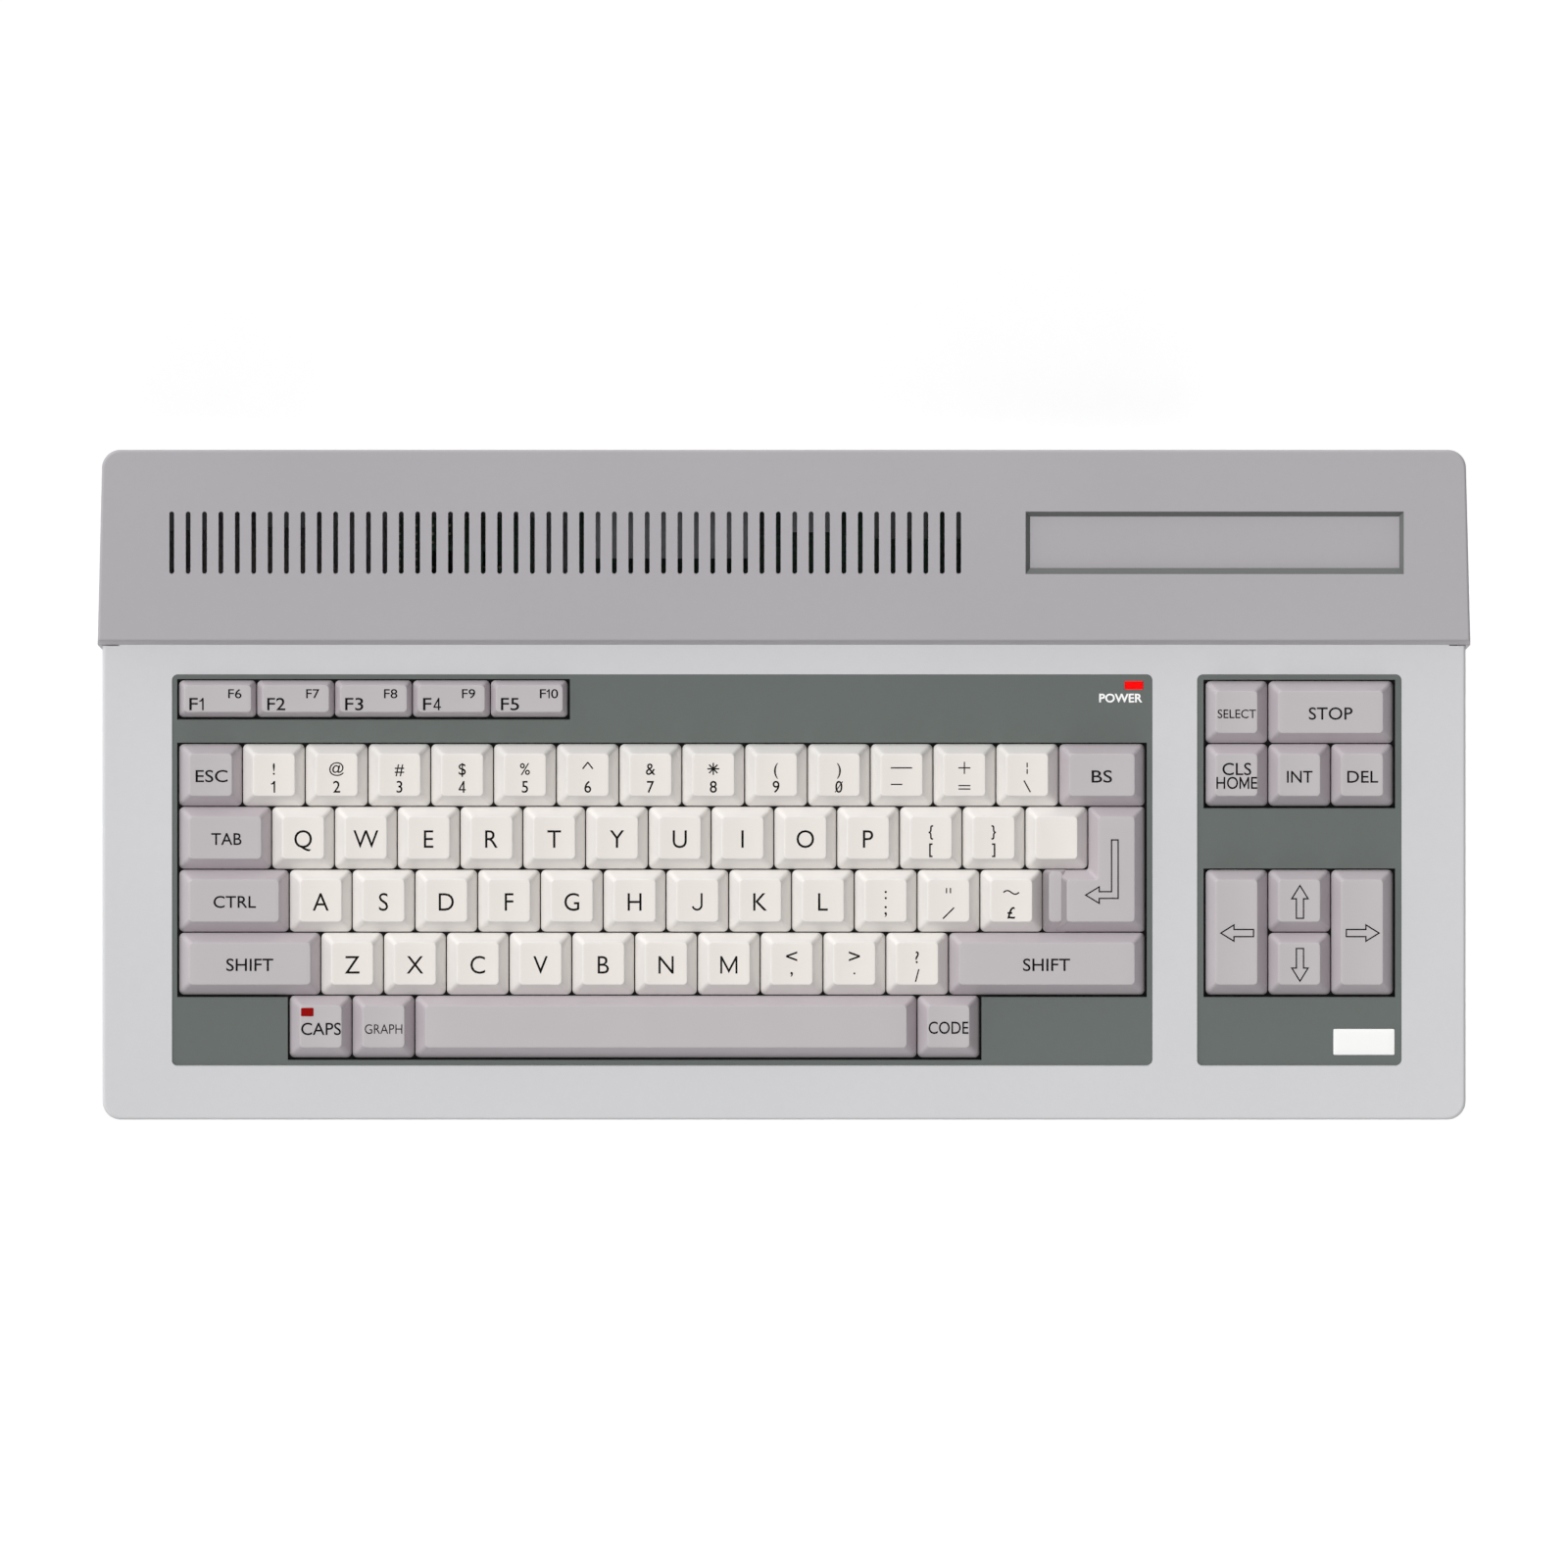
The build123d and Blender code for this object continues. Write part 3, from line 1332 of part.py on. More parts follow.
def rocker_centre():
    """World y and z of the power rocker's pivot."""
    return panel_y - rocker_face + rocker_proud, socket_z


def switch_body():
    y, z = rocker_centre()
    x = rocker_width / 2 + switch_wall
    reach = rocker_radius + switch_wall
    body = block(switch_x - x, switch_x + x, y - reach, panel_y, z - reach, z + reach)
    y_flange = panel_y - wall
    x_flange = x + switch_flange
    z_flange = reach + switch_flange
    body = body + block(
        switch_x - x_flange, switch_x + x_flange, y_flange - switch_flange, y_flange,
        z - z_flange, z + z_flange,
    )
    room_x = rocker_width / 2 + rocker_clearance
    room_radius = rocker_radius + rocker_clearance
    room = peg_x(y, z, switch_x - room_x, switch_x + room_x, room_radius)
    mouth = block(switch_x - room_x, switch_x + room_x, y, panel_y + 1, z - room_radius, z + room_radius)
    bore_x = room_x + rocker_pin_length + rocker_pin_play
    bore = peg_x(y, z, switch_x - bore_x, switch_x + bore_x, rocker_pin_radius + hinge_clearance)
    return body - room - mouth - bore


def power_rocker():
    """The rocker, tipped to off: round at its ends, with two flat faces that meet in a valley."""
    y, z = rocker_centre()
    x = rocker_width / 2
    half = rocker_throw / 2
    radius = rocker_radius
    body = peg_x(0, 0, -x, x, radius) & block(-x, x, -rocker_back, radius, -radius, radius)
    for side in (-1, 1):
        cut = Pos(0, rocker_face, 0) * Rot(side * half, 0, 0) * block(-big, big, 0, big, -big, big)
        keep = block(-big, big, -big, big, 0, big) if side < 0 else block(-big, big, -big, big, -big, 0)
        body = body - (cut & keep)
    pins = peg_x(0, 0, -x - rocker_pin_length, x + rocker_pin_length, rocker_pin_radius)
    return Pos(switch_x, y, z) * Rot(-half, 0, 0) * (body + pins)


def rf_modulator():
    """The screened modulator can and the phono sockets, each a sleeve round an insulator."""
    x = modulator_width / 2
    rear = panel_y - wall
    can = block(modulator_x - x, modulator_x + x, rear - modulator_depth, rear, board_top_z, socket_head_z)
    pieces = [can]
    audio_left = audio_x - audio_width / 2
    audio_front = rear - audio_depth
    audio = block(audio_left, audio_left + audio_width, audio_front, rear, board_top_z, socket_z + audio_head)
    pieces.append(audio)
    for phono_x in phono_xs + (audio_x,):
        sleeve = peg_y(phono_x, socket_z, rear, panel_y + phono_length, phono_radius)
        sleeve = sleeve + peg_y(phono_x, socket_z, rear, panel_y, phono_shoulder_radius)
        bore = peg_y(phono_x, socket_z, panel_y, panel_y + phono_length + 1, phono_bore_radius)
        pieces.append(sleeve - bore)
    return pieces


def din_sockets():
    pieces = []
    half = din_size / 2
    rear = panel_y - wall
    for x in din_xs:
        body = block(x - half, x + half, rear - din_depth, rear, board_top_z, socket_head_z)
        collar = peg_y(x, socket_z, rear - 1, panel_y, din_collar_radius)
        well = peg_y(x, socket_z, panel_y - din_recess, panel_y + 1, din_bore_radius)
        pieces.append((body + collar) - well)
    return pieces


def printer_connector():
    x = printer_width / 2
    z = printer_height / 2
    inner = panel_y - wall
    rear = panel_y + printer_proud
    body = block(printer_x - x, printer_x + x, inner - printer_depth, inner, board_top_z, socket_z + z)
    nose = block(printer_x - x, printer_x + x, inner - 1, rear, socket_z - z, socket_z + z)
    t = printer_wall
    floor_y = rear - printer_well
    room = block(printer_x - x + t, printer_x + x - t, floor_y, rear + 1, socket_z - z + t, socket_z + z - t)
    tongue_x = x - tongue_margin
    half = printer_tongue / 2
    tongue = block(
        printer_x - tongue_x, printer_x + tongue_x, floor_y - 1, rear - tongue_set,
        socket_z - half, socket_z + half,
    )
    return (body + nose) - room + tongue


def joystick_ports():
    """Two nine-pin ports, flush with the right-hand wall."""
    pieces = []
    y = joystick_width / 2
    z = joystick_height / 2
    inner = half_width - wall
    front = inner - joystick_flange_thickness
    reach = joystick_shoulder
    t = joystick_wall
    for mid in joystick_ys:
        flange_y = joystick_flange / 2
        low = joystick_z - z - joystick_flange_height
        high = joystick_z + z + joystick_flange_height
        shell_y = y + reach
        body = block(inner - joystick_depth, front, mid - shell_y, mid + shell_y, low + reach, high - reach)
        body = body + block(front, inner, mid - flange_y, mid + flange_y, low, high)
        body = body + block(inner - 1, half_width, mid - y, mid + y, joystick_z - z, joystick_z + z)
        floor_x = half_width - joystick_recess
        y_room = y - t
        z_room = z - t
        room = block(
            floor_x, half_width + 1, mid - y_room, mid + y_room, joystick_z - z_room, joystick_z + z_room
        )
        body = body - room
        pins = []
        tip = half_width - joystick_pin_set
        for count, dz in ((5, joystick_pin_row), (4, -joystick_pin_row)):
            for i in range(count):
                pin_y = mid + (i - (count - 1) / 2) * joystick_pin_pitch
                pins.append(peg_x(pin_y, joystick_z + dz, floor_x - 1, tip, joystick_pin_radius))
        pieces.append(body + pins)
    return pieces


def solids_of(shape):
    """The separate solids of a shape, as a list."""
    return list(shape.solids())


def write(node, shape):
    """One STEP file for a node, which is one solid or a list of them."""
    solids = []
    for item in shape if isinstance(shape, list) else [shape]:
        solids.extend(solids_of(item))
    result = solids[0] if len(solids) == 1 else Compound(children=solids)
    result.label = node
    export_step(result, f"parts/{node}.step")


def main():
    os.makedirs("parts", exist_ok=True)
    pieces = (
        lower_case, front_deck, rear_hood, rubber_feet, case_screws,
        main_key_bezel, side_key_bezel, blank_badge, power_led,
        keyboard_frame, dome_sheet, keyboard_board, space_bar_wire, ribbon_cable,
        cartridge_bay, cartridge_door, door_hinge_pin, door_spring, cartridge_connector,
        main_board, board_chips, power_transformer, power_board,
        mains_inlet, switch_body, power_rocker, rf_modulator,
        din_sockets, printer_connector, joystick_ports,
    )
    for piece in pieces:
        write(piece.__name__, piece())
    for node, solids in keys().items():
        write(node, [deck.location * solid for solid in solids])
    write("caps_led", deck.location * caps_led_block(0))


main()
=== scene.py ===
import json
import math

import bmesh
import bpy
import numpy as np
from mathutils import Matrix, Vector

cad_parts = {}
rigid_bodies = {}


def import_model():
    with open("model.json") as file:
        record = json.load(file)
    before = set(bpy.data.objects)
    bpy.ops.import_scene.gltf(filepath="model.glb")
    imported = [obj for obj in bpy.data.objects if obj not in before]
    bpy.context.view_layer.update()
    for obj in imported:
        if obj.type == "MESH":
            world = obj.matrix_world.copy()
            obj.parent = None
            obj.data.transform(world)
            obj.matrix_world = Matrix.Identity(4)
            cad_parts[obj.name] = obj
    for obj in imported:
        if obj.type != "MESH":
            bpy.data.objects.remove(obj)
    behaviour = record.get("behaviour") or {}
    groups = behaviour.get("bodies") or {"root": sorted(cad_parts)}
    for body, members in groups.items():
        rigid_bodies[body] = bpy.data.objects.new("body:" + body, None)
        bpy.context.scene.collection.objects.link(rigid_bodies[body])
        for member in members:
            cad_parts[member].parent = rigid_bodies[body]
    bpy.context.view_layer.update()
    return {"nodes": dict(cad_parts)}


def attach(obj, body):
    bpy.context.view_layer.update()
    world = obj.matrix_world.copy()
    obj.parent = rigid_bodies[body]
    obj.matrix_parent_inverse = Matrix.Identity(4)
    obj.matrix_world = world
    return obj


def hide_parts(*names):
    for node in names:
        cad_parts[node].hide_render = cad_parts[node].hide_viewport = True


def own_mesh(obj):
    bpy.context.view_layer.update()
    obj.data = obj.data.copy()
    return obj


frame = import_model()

print("frame loaded,", len(frame["nodes"]), "nodes")

mm = 0.001

# The keyboard deck: x to the right, v up its slope, w out of its top face, all in millimetres.
deckPlace = {"midY": -29.05, "midZ": 33.9143, "slope": 7.0}
deckSin = math.sin(math.radians(deckPlace["slope"]))
deckCos = math.cos(math.radians(deckPlace["slope"]))
deckTan = math.tan(math.radians(deckPlace["slope"]))


class Wire:
    # an output of a node, which takes + - * / as Math nodes

    def __init__(self, finish, socket):
        self.finish = finish
        self.socket = socket

    def maths(self, operation, first, second):
        return self.finish.node("ShaderNodeMath", {"operation": operation}, {0: first, 1: second})

    def __add__(self, other):
        return self.maths("ADD", self, other)

    def __radd__(self, other):
        return self.maths("ADD", other, self)

    def __sub__(self, other):
        return self.maths("SUBTRACT", self, other)

    def __rsub__(self, other):
        return self.maths("SUBTRACT", other, self)

    def __mul__(self, other):
        return self.maths("MULTIPLY", self, other)

    def __rmul__(self, other):
        return self.maths("MULTIPLY", other, self)


class Finish:
    # one shader tree being built; node() is the only way a node gets in

    def __init__(self, tree):
        self.tree = tree
        self.tree.nodes.clear()

    def node(self, kind, settings, inputs, output=0):
        made = self.tree.nodes.new(kind)
        for key, value in settings.items():
            setattr(made, key, value)
        for key, value in inputs.items():
            if isinstance(value, Wire):
                self.tree.links.new(value.socket, made.inputs[key])
            else:
                made.inputs[key].default_value = value
        return Wire(self, made.outputs[output] if made.outputs else None)

    def place(self, stretch=(1, 1, 1)):
        spot = self.node("ShaderNodeTexCoord", {}, {}, "Object")
        return self.node("ShaderNodeMapping", {}, {"Vector": spot, "Scale": stretch})

    def noise(self, place, scale, detail=2.0, rough=0.5):
        inputs = {"Vector": place, "Scale": scale, "Detail": detail, "Roughness": rough}
        return self.node("ShaderNodeTexNoise", {}, inputs)

    def wave(self, place, way, scale, distortion=0.0):
        inputs = {"Vector": place, "Scale": scale, "Distortion": distortion}
        return self.node("ShaderNodeTexWave", {"bands_direction": way}, inputs)

    def mark(self, name):
        # a value that the mesh carries at its points
        return self.node("ShaderNodeAttribute", {"attribute_name": name}, {}, "Fac")

    def shown(self):
        # 1 for the rays of the camera, of gloss and of clear plastic, else 0
        kinds = ("Camera", "Glossy", "Transmission")
        rays = [self.node("ShaderNodeLightPath", {}, {}, f"Is {kind} Ray") for kind in kinds]
        return self.ramp(rays[0] + rays[1] + rays[2], 0, 1)

    def ramp(self, factor, low, high):
        # 0 below low, 1 above high, straight in between
        return self.node("ShaderNodeMapRange", {"clamp": True}, {"Value": factor, 1: low, 2: high})

    def mix(self, factor, first, second):
        return self.node("ShaderNodeMix", {"data_type": "RGBA"}, {0: factor, 6: first, 7: second}, 2)

    def drift(self, factor, code, low, high):
        # one colour at two strengths
        return self.mix(factor, linear(code, low), linear(code, high))

    def bump(self, height, strength, distance):
        return self.node("ShaderNodeBump", {}, {"Height": height, "Strength": strength, "Distance": distance})

    def close(self, sockets):
        shader = self.node("ShaderNodeBsdfPrincipled", {}, sockets)
        self.node("ShaderNodeOutputMaterial", {}, {"Surface": shader})


def linear(code, gain=1.0):
    # an sRGB hex code as the linear colour that a node takes
    parts = np.array([int(code[i:i + 2], 16) for i in (0, 2, 4)]) / 255
    light = np.where(parts <= 0.04045, parts / 12.92, ((parts + 0.055) / 1.055) ** 2.4) * gain
    return (*light.tolist(), 1.0)


def painted(name, maker, look):
    # a new material, whose shader tree its maker builds
    material = bpy.data.materials.new(name)
    material.use_nodes = True
    maker(Finish(material.node_tree), look)
    return material


# Moulded plastics: colour, how far it drifts, grain per metre, depth of the grain, roughness, shine.
plasticFinishes = {
    "deckPlastic": {"colour": "ccccce", "drift": 0.02, "grain": 1500, "depth": 0.14, "rough": 0.52, "shine": 0.2},
    "hoodPlastic": {"colour": "a9a6aa", "drift": 0.02, "grain": 1500, "depth": 0.16, "rough": 0.55, "shine": 0.2},
    "bezelPlastic": {"colour": "636966", "drift": 0.03, "grain": 1900, "depth": 0.12, "rough": 0.5, "shine": 0.2},
    "blackPlastic": {"colour": "242526", "drift": 0.10, "grain": 1600, "depth": 0.14, "rough": 0.42, "shine": 0.4},
    "chipPlastic": {"colour": "1d1e20", "drift": 0.12, "grain": 2400, "depth": 0.2, "rough": 0.6, "shine": 0.4},
    # a dark grey for the lining that paints the shade in the cartridge mouth's rim
    "trimPlastic": {"colour": "6b6e6c", "drift": 0.03, "grain": 1900, "depth": 0.1, "rough": 0.5, "shine": 0.15},
    "badgePlate": {"colour": "f4f4f3", "drift": 0.01, "grain": 900, "depth": 0.05, "rough": 0.3, "shine": 0.3},
    "sleeveInsulator": {"colour": "d9d6cc", "drift": 0.04, "grain": 1500, "depth": 0.08, "rough": 0.4, "shine": 0.4},
}


def mouldedPlastic(finish, look):
    # a fine spark-eroded grain, slow drifts of colour, and a shine that varies with both
    place = finish.place()
    cloud = finish.noise(place, 14, 3)
    speck = finish.noise(place, 420, 2)
    grain = finish.noise(place, look["grain"], 3, 0.6)
    shade = cloud * 0.7 + speck * 0.3
    rough = look["rough"] + (cloud - 0.5) * 0.16 + (speck - 0.5) * 0.08
    finish.close({
        "Base Color": finish.drift(
            finish.ramp(shade, 0.3, 0.7), look["colour"], 1 - look["drift"], 1 + look["drift"],
        ),
        "Roughness": rough,
        "Normal": finish.bump(grain, look["depth"], 0.0002),
        "Specular IOR Level": look["shine"],
    })


# the side colour is a painted shade tint for the key walls; the darker colour after it paints shade on the return key's
# marked walls
keyFinishes = {
    "whiteKey": {"colour": "e6e0db", "worn": "e4ddd6", "side": "e1dedb", "grime": "b5b1a9", "rough": 0.5},
    "greyKey": {"colour": "bbb6b8", "worn": "b9b4b4", "side": "bab3b7", "grime": "918b8d", "rough": 0.5},
}


def keyPlastic(finish, look):
    # satin key plastic: fingers polish the middle of each top, which touch marks; the walls take a painted shade tint
    # by how they face, and a mark darkens the return key's riser walls with painted shade
    place = finish.place()
    touch = finish.mark("touch")
    cloud = finish.noise(place, 60, 3)
    grain = finish.noise(place, 2200, 2, 0.6)
    polish = touch * finish.ramp(cloud, 0.25, 0.75)
    colour = finish.mix(polish * 0.8, linear(look["colour"]), linear(look["worn"]))
    colour = finish.mix(finish.ramp(cloud, 0.35, 0.65) * 0.5, colour, linear(look["colour"], 0.975))
    facing = finish.node("ShaderNodeNewGeometry", {}, {}, "Normal")
    upward = finish.node("ShaderNodeSeparateXYZ", {}, {"Vector": facing}, "Z")
    # painted shade tint: the walls take the side colour by how far they face away from up
    colour = finish.mix(finish.ramp(upward, 0.5, 0.95), linear(look["side"]), colour)
    # painted shade: a darker colour on the walls that the mark picks out
    colour = finish.mix(finish.mark("grime") * (0.85 + cloud * 0.15), colour, linear(look["grime"]))
    finish.close({
        "Base Color": colour,
        "Roughness": look["rough"] - polish * 0.16 + (grain - 0.5) * 0.06,
        "Normal": finish.bump(grain, 0.1, 0.00015),
        "Specular IOR Level": 0.2,
    })


inkFinishes = {
    "darkInk": {"colour": "050404", "faded": "0c0b0a"},
    "whiteInk": {"colour": "ffffff", "faded": "f0f0ee"},
}


def ink(finish, look):
    # printed ink, a little uneven
    patch = finish.noise(finish.place(), 700, 3)
    finish.close({
        "Base Color": finish.mix(finish.ramp(patch, 0.4, 0.7), linear(look["colour"]), linear(look["faded"])),
        "Roughness": 0.45 + patch * 0.2,
        "Normal": finish.bump(patch, 0.1, 0.00005),
        "Specular IOR Level": 0.1,
    })


lensFinishes = {
    "redLens": {"colour": "f00000", "glow": "ff0000", "strength": 0.6},
    "darkRedLens": {"colour": "8c0000", "glow": "920000", "strength": 0.08},
}


def lens(finish, look):
    # dyed clear plastic: a faint ribbed brightness under a glossy skin
    place = finish.place()
    ribs = finish.wave(place, "X", 420.0, 0.4)
    finish.close({
        "Base Color": finish.drift(ribs * 0.3, look["colour"], 1, 0.75),
        "Roughness": 0.12 + ribs * 0.05,
        "Emission Color": finish.drift(ribs * 0.25, look["glow"], 1, 0.8),
        "Emission Strength": look["strength"],
        "Normal": finish.bump(ribs, 0.08, 0.0001),
        "Specular IOR Level": 0.05,
        "Coat Weight": 0.06,
    })


metalFinishes = {
    "zincSteel": {"colour": "b9bbbd", "rough": 0.32, "stretch": (1, 1, 12), "scale": 260},
    "springSteel": {"colour": "9a9b9d", "rough": 0.28, "stretch": (8, 1, 1), "scale": 240},
    "coreSteel": {"colour": "6e6a66", "rough": 0.5, "stretch": (40, 1, 1), "scale": 40},
    # the can's tin is darkened to a painted shade, so that it reads dark through the vents
    "tinnedCan": {"colour": "8e9092", "rough": 0.34, "stretch": (1, 1, 9), "scale": 150},
    "nickel": {"colour": "cfcac0", "rough": 0.2, "stretch": (1, 10, 1), "scale": 300},
    "contactGold": {"colour": "d2ab5a", "rough": 0.24, "stretch": (1, 10, 1), "scale": 300},
}


def metal(finish, look):
    # drawn or rolled metal: streaks along one way, blotches across them
    streak = finish.noise(finish.place(look["stretch"]), look["scale"], 3, 0.6)
    blotch = finish.noise(finish.place(), 45, 3)
    finish.close({
        "Base Color": finish.drift(blotch, look["colour"], 0.9, 1.05),
        "Metallic": 0.9 + blotch * 0.1,
        "Roughness": look["rough"] + (streak - 0.5) * 0.2,
        "Normal": finish.bump(streak, 0.12, 0.0001),
    })


rubberFinishes = {
    "footRubber": {"colour": "1c1c1d", "dust": "34332f", "rough": 0.82},
    "domeRubber": {"colour": "8f9494", "dust": "9da1a0", "rough": 0.6},
    "cableSkin": {"colour": "b8b9bb", "dust": "a9a9a9", "rough": 0.5},
}


def rubber(finish, look):
    # matt rubber with dust caught in its pores
    place = finish.place()
    pores = finish.noise(place, 900, 3, 0.65)
    dust = finish.ramp(finish.noise(place, 70, 4), 0.45, 0.75)
    finish.close({
        "Base Color": finish.mix(dust * 0.6, linear(look["colour"]), linear(look["dust"])),
        "Roughness": look["rough"] + dust * 0.1,
        "Normal": finish.bump(pores, 0.25, 0.0002),
    })


boardLook = {"mask": "17452b", "track": "1f5836", "pad": "8f8d78", "trackScale": 90.0, "padPitch": 394.0}


def solderMask(finish, look):
    # green mask over raised tracks that run two ways, broken up by noise
    place = finish.place()
    patch = finish.noise(place, 40, 1)
    along, across = (finish.wave(place, way, look["trackScale"]) for way in "XY")
    side = finish.ramp(patch, 0.49, 0.51)
    tracks = finish.ramp(along * side + across * (1 - side), 0.55, 0.65)
    dots = finish.node("ShaderNodeTexVoronoi", {}, {"Vector": place, "Scale": look["padPitch"], "Randomness": 0.0})
    pads = (1 - finish.ramp(dots, 0.16, 0.2)) * finish.ramp(finish.noise(place, 75, 0), 0.58, 0.6)
    green = finish.mix(tracks, linear(look["mask"]), linear(look["track"]))
    finish.close({
        "Base Color": finish.mix(pads, green, linear(look["pad"])),
        "Metallic": pads * 0.9,
        "Roughness": 0.3 + patch * 0.1,
        "Normal": finish.bump(tracks, 0.3, 0.0001),
    })


floorLook = {"colour": "ebebeb", "lift": 0.16}


def paleFloor(finish, look):
    # diffuse, so that it keeps the shadow, and lifted to white where the camera or a reflection sees it
    lift = look["lift"]
    speck = finish.noise(finish.place(), 30, 2)
    finish.close({
        "Base Color": finish.drift(speck, look["colour"], 1, 0.99),
        "Roughness": 0.9,
        "Specular IOR Level": 0.0,
        "Emission Color": finish.mix(finish.shown(), (0, 0, 0, 1), (lift, lift, lift, 1)),
        "Emission Strength": 1.0,
    })


makers = (
    (mouldedPlastic, plasticFinishes), (keyPlastic, keyFinishes), (ink, inkFinishes),
    (lens, lensFinishes), (metal, metalFinishes), (rubber, rubberFinishes),
)
materials = {name: painted(name, maker, look) for maker, looks in makers for name, look in looks.items()}
materials["solderMask"] = painted("solderMask", solderMask, boardLook)
print("materials made:", len(materials))


def loopFaces(levels, count):
    # quads between neighbouring closed loops; loops run anticlockwise seen from outside the first
    i = np.arange(levels - 1)[:, None] * count
    j = np.arange(count)[None]
    k = (j + 1) % count
    return np.stack([i + j, i + count + j, i + count + k, i + k], -1).reshape(-1, 4)


def closedSkin(loops):
    # a skin through a stack of closed loops, shut by a fan of triangles at each end
    levels, count = loops.shape[:2]
    ends = np.stack([loops[0].mean(0), loops[-1].mean(0)])
    points = np.concatenate([loops.reshape(-1, 3), ends])
    j = np.arange(count)
    k = (j + 1) % count
    head = np.stack([np.full(count, levels * count), j, k], -1)
    base = (levels - 1) * count
    foot = np.stack([base + j, np.full(count, levels * count + 1), base + k], -1)
    return points, loopFaces(levels, count), np.concatenate([head, foot])


def ringSkin(loops):
    # the same with the last loop joined to the first, for a frame or a tube in a circle
    levels, count = loops.shape[:2]
    faces = loopFaces(levels + 1, count) % (levels * count)
    return loops.reshape(-1, 3), faces, np.zeros((0, 3), int)


def joined(parts):
    # several skins as one
    starts = np.cumsum([0] + [len(part[0]) for part in parts])
    points = np.concatenate([part[0] for part in parts])
    quads = np.concatenate([part[1] + start for part, start in zip(parts, starts)])
    tris = np.concatenate([part[2] + start for part, start in zip(parts, starts)])
    return points, quads, tris


def repeated(part, offsets):
    # one copy of a skin at each offset
    offsets = np.asarray(offsets, float)
    points, quads, tris = part
    shift = (np.arange(len(offsets)) * len(points))[:, None, None]
    places = (points[None] + offsets[:, None]).reshape(-1, 3)
    return places, (quads[None] + shift).reshape(-1, 4), (tris[None] + shift).reshape(-1, 3)


def trianglesOf(work):
    # a finished bmesh as a skin of triangles that face outwards
    bmesh.ops.triangulate(work, faces=work.faces)
    bmesh.ops.recalc_face_normals(work, faces=work.faces)
    mesh = bpy.data.meshes.new("triangles")
    work.to_mesh(mesh)
    work.free()
    points = np.empty(len(mesh.vertices) * 3)
    mesh.vertices.foreach_get("co", points)
    corners = np.empty(len(mesh.polygons) * 3, np.int32)
    mesh.loops.foreach_get("vertex_index", corners)
    bpy.data.meshes.remove(mesh)
    return points.reshape(-1, 3), np.zeros((0, 4), int), corners.reshape(-1, 3)


def onSlope(points, place):
    # from a sloping frame to the world: v and w are turned by the slope about X
    turn = math.radians(place["slope"])
    x, v, w = points[..., 0], points[..., 1], points[..., 2]
    y = place["midY"] + v * math.cos(turn) - w * math.sin(turn)
    z = place["midZ"] + v * math.sin(turn) + w * math.cos(turn)
    return np.stack([x, y, z], -1)


def deckV(y, w=0.0):
    # how far up the slope a point lies that is seen at y from above and stands w out of the deck
    return (y - deckPlace["midY"] + w * deckSin) / deckCos


def moved(part, *shift):
    # a part shifted along its own axes
    return part[0] + shift, part[1], part[2]


def turnedTo(axes, part, centre):
    # turns a part that stands on Z: (0, 2, 1) lays it along +Y, (2, 1, 0) along +X
    points = part[0][:, axes].copy()
    points[:, 2] *= -1
    return points + np.asarray(centre, float), part[1], part[2]


def laid(part):
    # a part in the deck's frame, put in the world
    return onSlope(part[0], deckPlace), part[1], part[2]


def carryMark(mesh, name, values):
    # a value at each point, which a material reads by its name
    mesh.attributes.new(name, "FLOAT", "POINT").data.foreach_set("value", values.astype(np.float32))


def makePiece(name, part, material, body, replaces=(), sharp=32, touch=None):
    points, quads, tris = part
    mesh = bpy.data.meshes.new(name)
    mesh.from_pydata((points * mm).tolist(), [], quads.tolist() + tris.tolist())
    mesh.polygons.foreach_set("use_smooth", np.ones(len(mesh.polygons), bool))
    mesh.set_sharp_from_angle(angle=math.radians(sharp))
    if touch is not None:
        carryMark(mesh, "touch", touch)
    mesh.materials.append(materials[material])
    mesh.update()
    piece = bpy.data.objects.new(name, mesh)
    bpy.context.scene.collection.objects.link(piece)
    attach(piece, body)
    if replaces:
        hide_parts(*replaces)
    return piece


def cornerWalk(arcSteps, sideSteps):
    # one walk round a rounded rectangle: the corner's centre as signs, and the way that its edge faces
    signs = np.array([(1, 1), (-1, 1), (-1, -1), (1, -1), (1, 1)], float)
    share = (np.arange(sideSteps) + 1)[:, None] / (sideSteps + 1)
    turns, centres = [], []
    for k in range(4):
        turns += [np.radians(90 * k + np.linspace(0, 90, arcSteps + 1)), np.full(sideSteps, np.radians(90 * (k + 1)))]
        centres += [np.repeat(signs[k:k + 1], arcSteps + 1, 0), signs[k] * (1 - share) + signs[k + 1] * share]
    turn = np.concatenate(turns)
    return np.concatenate(centres), np.stack([np.cos(turn), np.sin(turn)], -1)


def roundedLoops(halfX, halfY, radius, walk):
    # a rounded rectangle per level: corner centre times (half size less radius), plus radius along the facing
    centre, facing = walk
    half = np.stack([halfX - radius, halfY - radius], -1)[:, None]
    return centre[None] * half + facing[None] * radius[:, None, None]


def circles(profile, sides):
    # each (radius, height) of a profile as a circle about Z
    profile = np.asarray(profile, float)
    turn = 2 * np.pi * np.arange(sides) / sides
    x, y = profile[:, :1] * np.cos(turn), profile[:, :1] * np.sin(turn)
    return np.stack([x, y, np.repeat(profile[:, 1:], sides, 1)], -1)


def lathe(profile, sides):
    # a turned part, its profile given from its top down
    return closedSkin(circles(profile, sides))


def turnedRing(profile):
    # a ring: a closed profile carried once round the axis
    return ringSkin(circles(profile, 32)[::-1])


def rolledEdge(edge, tilt, steps):
    # an edge rolled over by a tilt a: it runs out by edge sin a and falls by edge (1 - cos a)
    turn = np.linspace(0, tilt, steps)
    return edge * np.sin(turn), edge * (1 - np.cos(turn))


